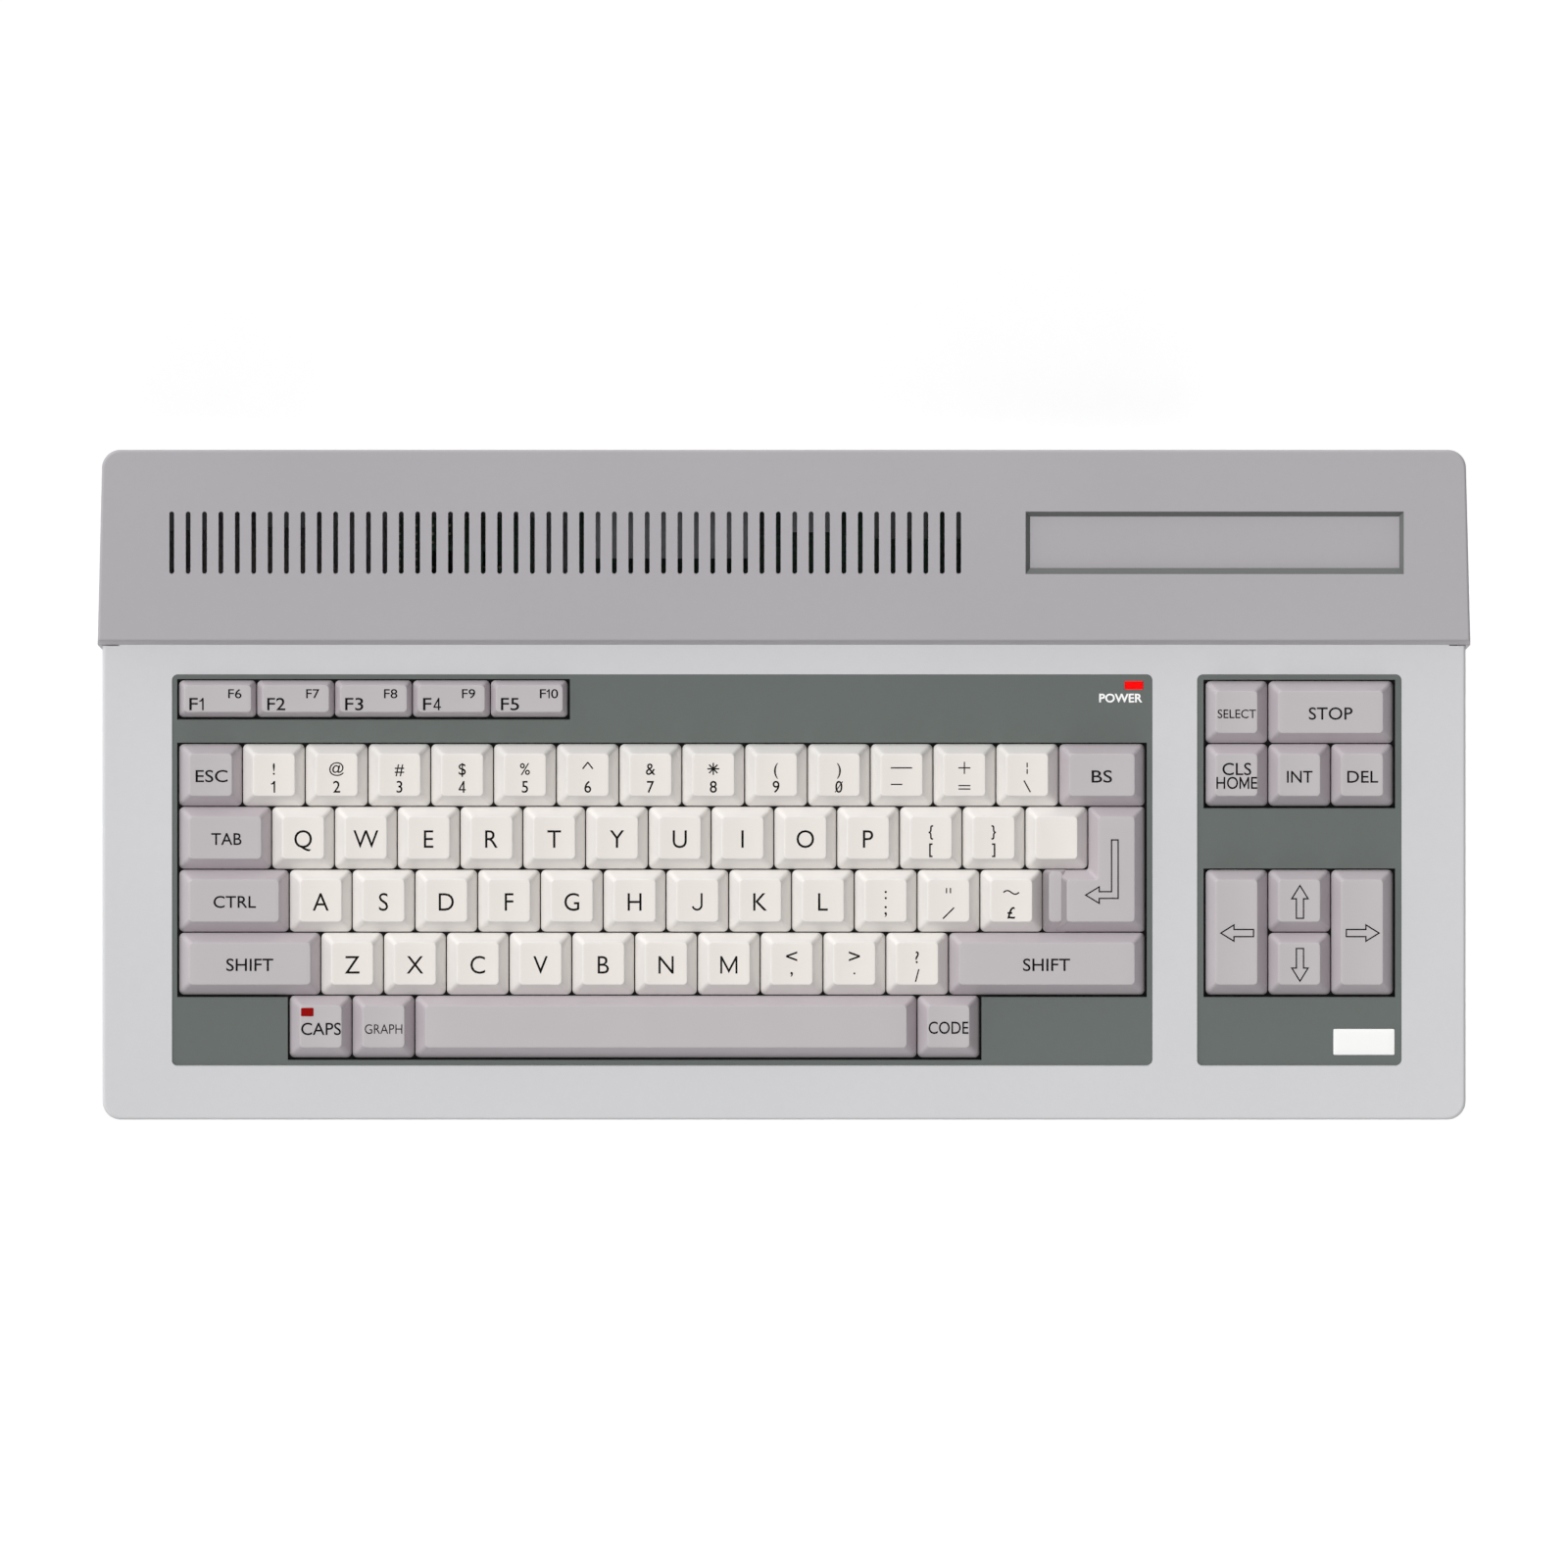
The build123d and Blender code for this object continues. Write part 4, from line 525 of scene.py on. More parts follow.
def roundedPad(width, depth, top, thick, corner, edge, walk):
    # a plate with rounded corners and a rolled upper edge
    out, fall = rolledEdge(edge, np.pi / 2, 5)
    offset = np.concatenate([[-0.3 * min(width, depth)], out - edge, [0.0]])
    drop = np.concatenate([[0.0], fall, [thick]])
    radius = np.maximum(corner + offset, 0.12)
    flat = roundedLoops(width / 2 + offset, depth / 2 + offset, radius, walk)
    return closedSkin(np.concatenate([flat, np.broadcast_to((top - drop)[:, None, None], flat.shape[:2] + (1,))], -1))


capShape = {
    "foot": -3.0, "height": 10.0, "inset": 3.1, "footCorner": 1.5, "topCorner": 1.2,
    "wall": 1.3, "dish": 0.24, "dishBorder": 0.5, "edge": 0.24, "gap": 0.16, "lip": 0.12,
    "functionHeight": 7.2, "functionInset": 1.6,
    "rings": (0.12, 0.3, 0.48, 0.64, 0.78, 0.9),      # of the top, as shares of its size
    "levels": (0.16, 0.4, 0.7, 0.97),                 # down the side, as shares of the height
    "innerLevels": (0.97, 0.6, 0.3),                  # back up inside it
}
stemShape = {
    "top": 3.6, "pin": 1.95, "boss": 3.0, "bossFoot": -0.9, "bossBore": 2.1, "body": 3.0, "bodyTop": -1.0,
    "flange": 3.9, "foot": -11.0, "plate": 0.8, "bevel": 0.2,
}
capWalk = cornerWalk(5, 8)


def capLoops(flat, height, drop):
    # a skin through a cap's loops of x and v at their drops below its top; a cap leans forward as it rises,
    # so that it stands upright on the slope
    w = capShape["foot"] + height - np.broadcast_to(drop, flat.shape[:2])
    return closedSkin(np.stack([flat[..., 0], flat[..., 1] + (w - capShape["foot"]) * deckTan, w], -1))


def dishDrop(x, halfTop, dish):
    # how far the cylinder that hollows a cap's top lies below its rim at x from the middle
    reach = halfTop - capShape["dishBorder"]
    return dish * np.clip(1 - (x / reach) ** 2, 0, None)


def capSkin(width, depth, height, inset, dish):
    # rounded rectangles from the middle of the top, over a rolled edge, down the slanted side and up inside;
    # each row of the table is a share of the size, an offset of the edge, a drop, and 1 where the dish hollows it
    c = capShape
    topX = (width - c["gap"]) / 2 - inset
    topY = (depth - c["gap"]) / 2 - inset
    tilt = math.atan2(height, inset)
    tuck = c["edge"] * math.tan(tilt / 2)
    out, fall = rolledEdge(c["edge"], tilt, 6)
    taper = inset / height
    sides = height * np.array(c["levels"])
    inner = np.array(c["innerLevels"]) * height
    ceiling = c["wall"] * taper - c["wall"]
    one6, one4, one3 = np.ones(6), np.ones(4), np.ones(3)
    rows = [
        np.stack([np.array(c["rings"]), np.full(6, -tuck), np.zeros(6), one6], -1),
        np.stack([one6, out - tuck, fall, one6], -1),
        np.stack([one4, sides * taper, sides, np.zeros(4)], -1),
        np.array([[1, inset - c["lip"], height, 0], [1, inset - c["wall"] + c["lip"], height, 0]]),
        np.stack([one3, inner * taper - c["wall"], inner, np.zeros(3)], -1),
        np.array([[share, ceiling, c["wall"], 0] for share in (1, 0.5, 0.15)]),
    ]
    share, offset, drop, dished = np.concatenate(rows).T
    corner = c["topCorner"] + (c["footCorner"] - c["topCorner"]) * drop / height + np.minimum(offset, 0)
    radius = np.maximum(corner, 0.3) * share
    flat = roundedLoops(share * (topX + offset), share * (topY + offset), radius, capWalk)
    hollow = dishDrop(flat[..., 0], topX, dish) * dished[:, None]
    part = capLoops(flat, height, drop[:, None] + hollow)
    spread = (flat[..., 0] / topX) ** 2 + (flat[..., 1] / topY) ** 2
    touch = np.exp(-2.2 * spread) * (drop < c["edge"])[:, None]      # a soft spot that fades to the top's edge
    return part, np.concatenate([touch.ravel(), [1.0, 0.0]])


def stemSkin(height):
    # the plunger: pin in the cap's boss, round body, flange on the dome, turned about the key's middle
    s = stemShape
    ceiling = capShape["foot"] + height - capShape["wall"]
    top = min(s["top"], ceiling - 0.2)
    stem = lathe([
        (0.4, top), (s["pin"], top - 0.3), (s["pin"], s["bodyTop"]), (s["body"] - s["bevel"], s["bodyTop"]),
        (s["body"], s["bodyTop"] - s["bevel"]), (s["body"], s["foot"] + s["plate"]),
        (s["flange"], s["foot"] + s["plate"]), (s["flange"], s["foot"]), (0.4, s["foot"]),
    ], 20)
    boss = lathe([
        (0.2, ceiling + 0.5), (s["boss"], ceiling + 0.5), (s["boss"], s["bossFoot"]), (s["bossBore"], s["bossFoot"]),
        (s["bossBore"], ceiling - 0.1), (0.2, ceiling - 0.1),
    ], 20)
    return joined([stem, boss])


def keySkin(width, depth, height, inset, dish):
    # a whole key about its middle, and how much fingers have polished each of its points
    cap, touch = capSkin(width, depth, height, inset, dish)
    stem = stemSkin(height)
    return joined([cap, stem]), np.concatenate([touch, np.zeros(len(stem[0]))])


# The key layout, seen from above: left edges run on from the one before.
layout = {
    "unit": 19.05, "rowPitch": 19.09, "left": -183.66, "right": 109.6, "digitsY": 2.6,
    "functionsY": 25.72, "functionWidth": 23.64, "functionDepth": 11.45, "sideLeft": 127.8,
    "escapeWidth": 19.33, "tabWidth": 28.2, "controlWidth": 33.55, "shiftWidth": 43.1,
}
unit = layout["unit"]
keyDepth = layout["rowPitch"] / deckCos


def rowY(row):
    # the middle of a row as seen from above, counted from the digits towards the front
    return layout["digitsY"] - row * layout["rowPitch"]


def keyTable():
    # node -> list of (x, y, width, depth) with x and y as seen from above
    table = {}
    for i in range(5):
        x = layout["left"] + (i + 0.5) * layout["functionWidth"]
        size = layout["functionWidth"], layout["functionDepth"] / deckCos
        table[f"function_key_{i + 1}"] = [(x, layout["functionsY"], *size)]
    rows = (
        (("escape_key", layout["escapeWidth"]), ("number_row_keys", 13), ("backspace_key", None)),
        (("tab_key", layout["tabWidth"]), ("upper_row_keys", 13)),
        (("control_key", layout["controlWidth"]), ("home_row_keys", 12)),
        (("left_shift_key", layout["shiftWidth"]), ("lower_row_keys", 10), ("right_shift_key", None)),
    )
    for row, members in enumerate(rows):
        x = layout["left"]
        for node, size in members:
            if isinstance(size, int):
                table[node] = [(x + (i + 0.5) * unit, rowY(row), unit, keyDepth) for i in range(size)]
                x += size * unit
            else:
                width = size or layout["right"] - x
                table[node] = [(x + width / 2, rowY(row), width, keyDepth)]
                x += width
    x = layout["left"] + layout["controlWidth"]
    for node, units in (("caps_key", 1), ("graph_key", 1), ("space_bar", 8), ("code_key", 1)):
        table[node] = [(x + units * unit / 2, rowY(4), units * unit, keyDepth)]
        x += units * unit
    sides = (   # node, column and row of its middle, units wide, rows deep
        ("select_key", 0.5, -1, 1, 1), ("stop_key", 2, -1, 2, 1), ("clear_key", 0.5, 0, 1, 1),
        ("insert_key", 1.5, 0, 1, 1), ("delete_key", 2.5, 0, 1, 1), ("arrow_left_key", 0.5, 2.5, 1, 2),
        ("arrow_up_key", 1.5, 2, 1, 1), ("arrow_down_key", 1.5, 3, 1, 1), ("arrow_right_key", 2.5, 2.5, 1, 2),
    )
    for node, column, row, wide, deep in sides:
        table[node] = [(layout["sideLeft"] + column * unit, rowY(row), wide * unit, deep * keyDepth)]
    return table


keyPlaces = keyTable()


def capSizes(node, width):
    # height, inset and dish of a cap
    if node.startswith("function"):
        return capShape["functionHeight"], capShape["functionInset"], capShape["dish"]
    return capShape["height"], capShape["inset"], capShape["dish"] if width < 3 * unit else 0.0


hookShape = {
    "reach": 46.7, "width": 2.4, "front": -6.476, "rear": -3.754, "foot": -2.55, "top": -0.85, "wall": 1.0, "head": 6.2,
}


def wireHooks():
    # an eye round the levelling wire on each side, a rectangle in a rectangle carried along X, and the leg over it
    h = hookShape
    ends = np.array([-0.5, 0.5]) * h["width"]
    loops = []
    for grow, x in ((0, ends[0]), (0, ends[1]), (h["wall"], ends[1]), (h["wall"], ends[0])):
        v0, v1, w0, w1 = h["front"] - grow, h["rear"] + grow, h["foot"] - grow, h["top"] + grow
        loops.append([(x, v0, w0), (x, v1, w0), (x, v1, w1), (x, v0, w1)])
    rear, low = h["rear"] + h["wall"], h["top"] + h["wall"] / 2
    corners = ((h["rear"], low), (rear, low), (rear, h["head"]), (h["rear"], h["head"]))
    leg = [[(x, v, w) for v, w in corners] for x in ends[::-1]]
    hook = joined([ringSkin(np.array(loops)), closedSkin(np.array(leg))])
    return repeated(hook, [(-h["reach"], 0, 0), (h["reach"], 0, 0)])


for node, places in keyPlaces.items():
    x, y, width, depth = places[0]
    skin, touch = keySkin(width, depth, *capSizes(node, width))
    if node == "space_bar":
        skin = joined([skin, wireHooks()])
        touch = np.concatenate([touch, np.zeros(len(skin[0]) - len(touch))])
    white = node.endswith("row_keys")
    makePiece(
        node.replace("_keys", "_caps") if white else node.removesuffix("_key") + "_cap",
        laid(repeated(skin, [(px, deckV(py), 0) for px, py, _, _ in places])), "whiteKey" if white else "greyKey",
        node, [node], touch=np.tile(touch, len(places)),
    )
print("caps made:", len(keyPlaces))


# The return key is an L over two rows, with a low step at its left.
returnShape = {
    "stepHeight": 5.6, "stepInset": 1.9, "stepFront": 3.1, "stepRear": 0.5, "stepWidth": 7.3, "stepReach": 7.8,
    "stepCorner": 1.3, "riserInset": 4.05, "corner": 1.2, "edge": 0.28, "lean": 72.8, "thumb": (9, 14), "thumbUp": 6,
}


def filletLoops(corners, radius):
    # rounds each corner of a polygon per level: a quadratic blend between the tangent points
    before = np.roll(corners, 1, 1) - corners
    after = np.roll(corners, -1, 1) - corners
    before /= np.linalg.norm(before, axis=-1, keepdims=True)
    after /= np.linalg.norm(after, axis=-1, keepdims=True)
    t = np.linspace(0, 1, 5)[None, None, :, None]
    r = radius[:, None, None, None]
    corner = corners[:, :, None]
    start, end = corner + before[:, :, None] * r, corner + after[:, :, None] * r
    arcs = start * (1 - t) ** 2 + corner * 2 * t * (1 - t) + end * t ** 2
    return arcs.reshape(len(corners), -1, 2)


def returnEdges():
    # the step's left, the tall leg's left and the right side, then the front, the middle and the rear up the slope
    half = capShape["gap"] / 2
    left = layout["left"] + layout["controlWidth"] + 12 * unit + half
    leg = layout["left"] + layout["tabWidth"] + 13 * unit + half
    front = deckV(rowY(2.5)) + half
    return left, leg, layout["right"] - half, front, front + keyDepth - 2 * half, front + 2 * keyDepth - 2 * half


def returnTop():
    # the L's sides lean in with the height, over a rolled edge, and its corners are rounded; from there the loops
    # shrink towards one point, on the top and under it
    c, s = capShape, returnShape
    xLow, xHigh, xEnd, v0, v1, v2 = returnEdges()
    height = c["height"]
    tilt = math.radians(s["lean"])
    tuck = s["edge"] * math.tan(tilt / 2)
    out, fall = rolledEdge(s["edge"], tilt, 6)
    steps = np.array(c["levels"] + (1.0, 1.0, 0.97, 0.5, c["wall"] / height))
    drop = np.concatenate([fall, height * steps])
    rolled = np.concatenate([out - tuck, np.zeros(9)])
    inward = np.concatenate([np.zeros(10), [-c["lip"], c["lip"] - c["wall"]], np.full(3, -c["wall"])])
    level = np.concatenate([np.ones(6), 1 - steps])
    offset = rolled + inward
    inset = c["inset"] * level - offset
    x0 = xLow + s["stepWidth"] - s["riserInset"] + (s["riserInset"] * level - offset)
    x1, x2, front, mid, rear = xHigh + inset, xEnd - inset, v0 + inset, v1 - inset, v2 - inset
    corners = ((x0, front), (x2, front), (x2, rear), (x1, rear), (x1, mid), (x0, mid))
    corners = np.stack([np.stack(corner, -1) for corner in corners], 1)
    loops = filletLoops(corners, s["corner"] + np.minimum(offset, 0) * 0.4)
    middle = np.array([(xHigh + xEnd) / 2, (v0 + v1) / 2])
    inner = middle + (loops[:1] - middle) * np.array([0.15, 0.4, 0.65, 0.85])[:, None, None]
    under = middle + (loops[-1:] - middle) * np.array([0.6, 0.2])[:, None, None]
    flat = np.concatenate([inner, loops, under])
    drops = np.concatenate([np.zeros(4), drop, np.full(2, drop[-1])])
    thumb = (flat - middle - (0, s["thumbUp"])) / s["thumb"]
    touch = np.exp(-2 * (thumb ** 2).sum(-1)) * (drops < s["edge"])[:, None]
    # painted shade on the riser, from its rolled edge down: 1 on the left side, fading round its two corners
    arc = np.linspace(0, 1, loops.shape[1] // 6)
    wall = np.concatenate([arc[::-1], np.zeros(4 * len(arc)), arc])
    grime = np.zeros(flat.shape[:2])
    grime[9:14] = wall
    return capLoops(flat, height, drops[:, None]), [*touch.ravel(), 0.6, 0.0], [*grime.ravel(), 0, 0]


def returnStep():
    # a lower cap that runs under the riser; its top lies further back, over a long front slope
    c, s = capShape, returnShape
    xLow, _, _, v0, v1, _ = returnEdges()
    tilt = math.atan2(s["stepHeight"], s["stepInset"])
    tuck = s["edge"] * math.tan(tilt / 2)
    out, fall = rolledEdge(s["edge"], tilt, 5)
    sides = np.array([0.4, 0.97, 1.0])
    inner = [s["stepInset"] - c["wall"], 0.3 - c["wall"]]
    offset = np.concatenate([np.full(3, -tuck), out - tuck, sides * s["stepInset"], inner])
    drop = np.concatenate([np.zeros(3), fall, sides * s["stepHeight"], [s["stepHeight"], c["wall"]]])
    scale = np.concatenate([[0.2, 0.5, 0.8], np.ones(10)])
    inset = (s["stepInset"] - offset) / s["stepInset"]
    halfX = scale * (s["stepReach"] / 2 - s["stepInset"] + offset)
    halfV = scale * ((v1 - v0) / 2 - inset * (s["stepFront"] + s["stepRear"]) / 2)
    radius = np.maximum(s["stepCorner"] + np.minimum(offset, 0) * 0.5, 0.3) * scale
    flat = roundedLoops(halfX, halfV, radius, capWalk)
    back = inset * (s["stepFront"] - s["stepRear"]) / 2
    flat = flat + np.stack([np.full(len(back), xLow + s["stepReach"] / 2), back + (v0 + v1) / 2], -1)[:, None]
    # painted shade on the step's left-facing side
    grime = np.zeros(flat.shape[:2])
    grime[7:11] = np.clip(-capWalk[1][:, 0], 0, 1)      # how far each point faces left
    return capLoops(flat, s["stepHeight"], drop[:, None]), [*grime.ravel(), 0, 0]


top, touch, grime = returnTop()
step, stepPaintedShade = returnStep()
_, _, _, front, mid, _ = returnEdges()
stem = moved(stemSkin(capShape["height"]), layout["right"] - unit, (front + mid) / 2, 0)
rest = np.zeros(len(stem[0]))
touch = np.concatenate([touch, np.zeros(len(step[0])), rest])
cap = laid(joined([top, step, stem]))
cap = makePiece("return_cap", cap, "greyKey", "return_key", ["return_key"], touch=touch)
# the mark that paints shade on the riser and on the step's left side
carryMark(cap.data, "grime", np.concatenate([grime, stepPaintedShade, rest]))
print("return cap made")


# Under each plunger stands a rubber dome.
domeShape = {"foot": 4.6, "top": 3.2, "skin": 0.7, "low": -15.45, "high": -11.03, "edge": 0.4, "travel": 3.8}
deckUp = (0, -deckSin, deckCos)
domeFoot = (onSlope(np.array([0, 0, domeShape["low"]]), deckPlace) * mm).tolist()


def domeSkin():
    # a turned dome: a rolled shoulder, a slanted wall, and the same a skin's thickness further in
    s = domeShape
    out, fall = rolledEdge(s["edge"], math.radians(70), 5)
    radius, level = s["top"] - s["edge"] + out, s["high"] - fall
    inner, ceiling = s["top"] - s["skin"], s["high"] - s["skin"]
    return lathe(np.concatenate([
        [(0.3, s["high"])], np.stack([radius, level], -1), [(s["foot"], s["low"]), (s["foot"] - s["skin"], s["low"])],
        [(inner, ceiling - 0.2), (inner - 0.2, ceiling), (0.3, ceiling)],
    ]), 20)


def flatSheet():
    # what the frame's sheet is below its domes: a merged copy cut along a plane and shut again
    work = bmesh.new()
    work.from_mesh(frame["nodes"]["dome_sheet"].data)
    bmesh.ops.remove_doubles(work, verts=work.verts, dist=1e-6)
    cut = bmesh.ops.bisect_plane(
        work, geom=work.verts[:] + work.edges[:] + work.faces[:], dist=1e-7,
        plane_co=domeFoot, plane_no=deckUp, clear_outer=True,
    )
    rim = [edge for edge in cut["geom_cut"] if isinstance(edge, bmesh.types.BMEdge)]
    bmesh.ops.triangle_fill(work, use_beauty=True, edges=rim, normal=deckUp)
    points, quads, tris = trianglesOf(work)
    return points / mm, quads, tris


makePiece("rubber_sheet", flatSheet(), "domeRubber", "case", ["dome_sheet"])
stemPlaces = {**keyPlaces, "return_key": [(layout["right"] - unit, rowY(2), unit, keyDepth)]}
for node, places in stemPlaces.items():
    domes = laid(repeated(domeSkin(), [(x, deckV(y), 0) for x, y, _, _ in places]))
    domes = makePiece(f"{node}_domes", domes, "domeRubber", "case")
    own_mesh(domes)
print("domes made:", len(stemPlaces))


legendShape = {
    "sunk": 0.12, "proud": 0.03, "letter": -0.002, "small": 0.006, "bold": 0.024, "smallHigh": 4.5,
    "line": 0.42, "outline": 0.4, "one": 0.49, "stem": 0.6, "narrow": 0.94,
    "letterHigh": 5.3, "signHigh": 3.5, "digitHigh": 3.55, "signY": 2.14, "digitY": -3.24,
}
glyphCache = {}


def glyph(text, weight):
    # one word in the built-in letters as a closed solid from z 0 to 1, letters an em high
    if (text, weight) not in glyphCache:
        curve = bpy.data.curves.new("word", "FONT")
        curve.body = text
        curve.resolution_u = 4
        curve.offset = weight
        curve.extrude = 0.5
        carrier = bpy.data.objects.new("word", curve)
        mesh = bpy.data.meshes.new_from_object(carrier)
        work = bmesh.new()
        work.from_mesh(mesh)
        bmesh.ops.remove_doubles(work, verts=work.verts, dist=1e-4)
        points, _, tris = trianglesOf(work)
        bpy.data.objects.remove(carrier)
        bpy.data.curves.remove(curve)
        bpy.data.meshes.remove(mesh)
        points[:, 2] += 0.5
        glyphCache[text, weight] = points, tris
    points, tris = glyphCache[text, weight]
    return points.copy(), tris


def word(text, dx, dy, high, wide=None, weight=None, boxed=False, left=False):
    # a word placed from a key's middle: high is that of its capitals, or of its own box when boxed
    weight = legendShape["letter" if high > legendShape["smallHigh"] else "small"] if weight is None else weight
    points, tris = glyph(text, weight)
    low, top = points.min(0), points.max(0)
    if boxed:
        scale = high / (top[1] - low[1])
        y = (points[:, 1] - (low[1] + top[1]) / 2) * scale + dy
    else:
        letter = glyph("H", weight)[0][:, 1]
        scale = high / (letter.max() - letter.min())
        y = (points[:, 1] - letter.min()) * scale + dy - high / 2
    across = wide / (top[0] - low[0]) if wide else scale * legendShape["narrow"]
    anchor = low[0] if left else (low[0] + top[0]) / 2
    x = (points[:, 0] - anchor) * across + dx
    return np.stack([x, y, points[:, 2]], -1), np.zeros((0, 4), int), tris


def raised(outline, z):
    # a flat outline at a height
    return np.column_stack([outline, np.full(len(outline), z)])


def rightOf(edges):
    # the unit normal to the right of each edge
    edges = edges / np.linalg.norm(edges, axis=1, keepdims=True)
    return np.stack([edges[:, 1], -edges[:, 0]], -1)


def mitre(normal, last):
    # where the lines 1 off two edges meet
    return (normal + last) / (1 + (normal * last).sum(1, keepdims=True))


def penLine(points, width=legendShape["line"]):
    # a line of even width along a path: every point moved to both sides along its mitre
    points = np.asarray(points, float)
    normal = rightOf(np.diff(points, axis=0))
    side = np.concatenate([normal[:1], mitre(normal[1:], normal[:-1]), normal[-1:]]) * width / 2
    right, left = points + side, points - side
    return closedSkin(np.stack([raised(right, 0), raised(right, 1), raised(left, 1), raised(left, 0)], 1))


def outlined(corners, width=legendShape["outline"]):
    # a closed line of even width: the polygon moved out and in along its mitres, at two heights
    corners = np.asarray(corners, float)
    normal = rightOf(np.roll(corners, -1, 0) - corners)
    side = mitre(normal, np.roll(normal, 1, 0)) * width / 2
    outer, inner = corners + side, corners - side
    return ringSkin(np.stack([raised(inner, 1), raised(outer, 1), raised(outer, 0), raised(inner, 0)]))


arrowShape = {"long": 9.93, "head": 3.99, "half": 2.47, "shaft": 1.085}


def blockArrow(turn, dx=0.0, dy=0.0):
    # an outlined arrow, drawn pointing left and turned anticlockwise by quarter turns
    half, shaft, end = arrowShape["half"], arrowShape["shaft"], arrowShape["long"] / 2
    neck = -end + arrowShape["head"]
    corners = ((-end, 0), (neck, -half), (neck, -shaft), (end, -shaft), (end, shaft), (neck, shaft), (neck, half))
    x, y = np.array(corners).T
    c, s = ((1, 0), (0, 1), (-1, 0), (0, -1))[turn]
    return outlined(np.stack([x * c - y * s + dx, x * s + y * c + dy], -1))


def bar(x0, x1, y0, y1):
    # a plain printed stroke
    corners = np.array([(x0, y0), (x1, y0), (x1, y1), (x0, y1)], float)
    return closedSkin(np.stack([raised(corners, 1), raised(corners, 0)]))


def stroke(x0, y0, x1, y1, width=legendShape["line"]):
    # a slanted printed stroke from one point to another
    return penLine([(x0, y0), (x1, y1)], width)


def one(dx, dy, high, width=legendShape["one"]):
    # the figure 1: an upright with a short flag, in shares of its height; dy is its middle
    top = dy + high / 2
    flag = [(dx - 0.28 * high, top - 0.27 * high), (dx - 0.12 * high, top - 0.22 * high), (dx, top - 0.03 * high)]
    return [bar(dx - width / 2, dx + width / 2, dy - high / 2, top), penLine(flag, width * 0.9)]


def four(dx, dy, high):
    # the figure 4: an upright, a crossbar a quarter of the way up, and the stroke that joins them
    width = legendShape["one"]
    upright, low, top = dx + 0.12 * high, dy - 0.25 * high, dy + high / 2
    return [
        bar(upright - width / 2, upright + width / 2, dy - high / 2, top),
        bar(dx - 0.31 * high, dx + 0.31 * high, low - width * 0.4, low + width * 0.4),
        stroke(dx - 0.27 * high, low, upright, top - width * 0.4, width * 0.85),
    ]


def letterJ(dx, dy, high, width=legendShape["stem"]):
    # an upright that turns up in a half circle at its foot
    radius = high * 0.26
    turn = np.radians(np.linspace(0, -165, 15))
    hook = np.stack([radius * np.cos(turn) - radius, radius * np.sin(turn)], -1)
    hook += (dx + radius, dy - high / 2 + radius + width / 2)
    return [penLine(np.concatenate([[(dx + radius, dy + high / 2)], hook]), width)]


def letterM(dx, dy, high, wide, width=legendShape["stem"]):
    # two uprights, and a V between them whose mitred point stands on the foot line
    side, top, foot = (wide - width) / 2, dy + high / 2, dy - high / 2
    point = foot + width / 2 * math.hypot(side, high) / side
    return [
        bar(dx - wide / 2, dx - wide / 2 + width, foot, top), bar(dx + wide / 2 - width, dx + wide / 2, foot, top),
        penLine([(dx - side, top - width * 0.3), (dx, point), (dx + side, top - width * 0.3)], width),
    ]


def sign(text):
    # the shifted sign, at the top of a key
    return word(text, 0, legendShape["signY"], legendShape["signHigh"])


def digit(text):
    # the plain sign, at the bottom of a key
    return word(text, 0, legendShape["digitY"], legendShape["digitHigh"])


def letters(text):
    # a row of keys with one large letter each
    return [[word(letter, 0, 0, legendShape["letterHigh"])] for letter in text]


# What each key shows, as printed parts placed from its middle.
digitPlace = legendShape["digitY"], legendShape["digitHigh"]
starShape = {"reach": 1.82, "y": 2.2}
turn = np.radians([0, 45, 90, 135])
rays = starShape["reach"] * np.stack([np.cos(turn), np.sin(turn)], -1)
numberLegends = [[sign(upper), digit(lower)] for upper, lower in zip("!@#$%^&*()", "1234567890")]
numberLegends[0][1:] = one(0.15, *digitPlace)
numberLegends[1][0] = word("@", 0, legendShape["signY"], 4.2, 4.5, boxed=True)
numberLegends[3][1:] = four(0, *digitPlace)
numberLegends[5][:1] = [stroke(-1.55, 2.2, 0.05, 4.25), stroke(-0.05, 4.25, 1.55, 2.2)]
numberLegends[7][:1] = [stroke(-x, starShape["y"] - y, x, starShape["y"] + y) for x, y in rays]
numberLegends[9].append(stroke(-1.15, -4.9, 1.15, -1.6, 0.28))
numberLegends += [
    [bar(-3.3, 3.2, 2.32, 2.7), bar(-3.3, 0.2, -2.7, -2.32)],
    [
        bar(-1.82, 1.82, 2.32, 2.7), bar(-0.19, 0.19, 0.68, 4.32),
        bar(-1.82, 1.82, -3.05, -2.69), bar(-1.82, 1.82, -4.09, -3.73),
    ],
    [bar(-0.19, 0.19, 2.65, 4.1), bar(-0.19, 0.19, 0.7, 2.15), stroke(-0.95, -1.35, 0.95, -4.85)],
]
upperLegends = letters("QWERTYUIOP")
for brace, bracket in ("{[", "}]"):
    brace = word(brace, 0, 2.0, 4.4, 1.35, 0.014, boxed=True)
    upperLegends.append([brace, word(bracket, 0, -3.4, 4.2, 1.05, 0.014, boxed=True)])
upperLegends.append([])
waveX = np.linspace(-2.4, 2.4, 17)
tilde = np.stack([waveX, 2.9 + 0.55 * np.sin(waveX * 1.31 + np.pi)], -1)
homeLegends = letters("ASDFGHJKL") + [
    [word(":", 0, 2.1, 2.6, boxed=True), word(";", 0, -2.9, 3.4, boxed=True)],
    [bar(-0.79, -0.41, 2.65, 4.25), bar(0.41, 0.79, 2.65, 4.25), stroke(-1.7, -5.1, 1.7, -1.7)],
    [penLine(tilde), word("£", 0, -3.3, 3.5, 2.45, 0.012)],
]
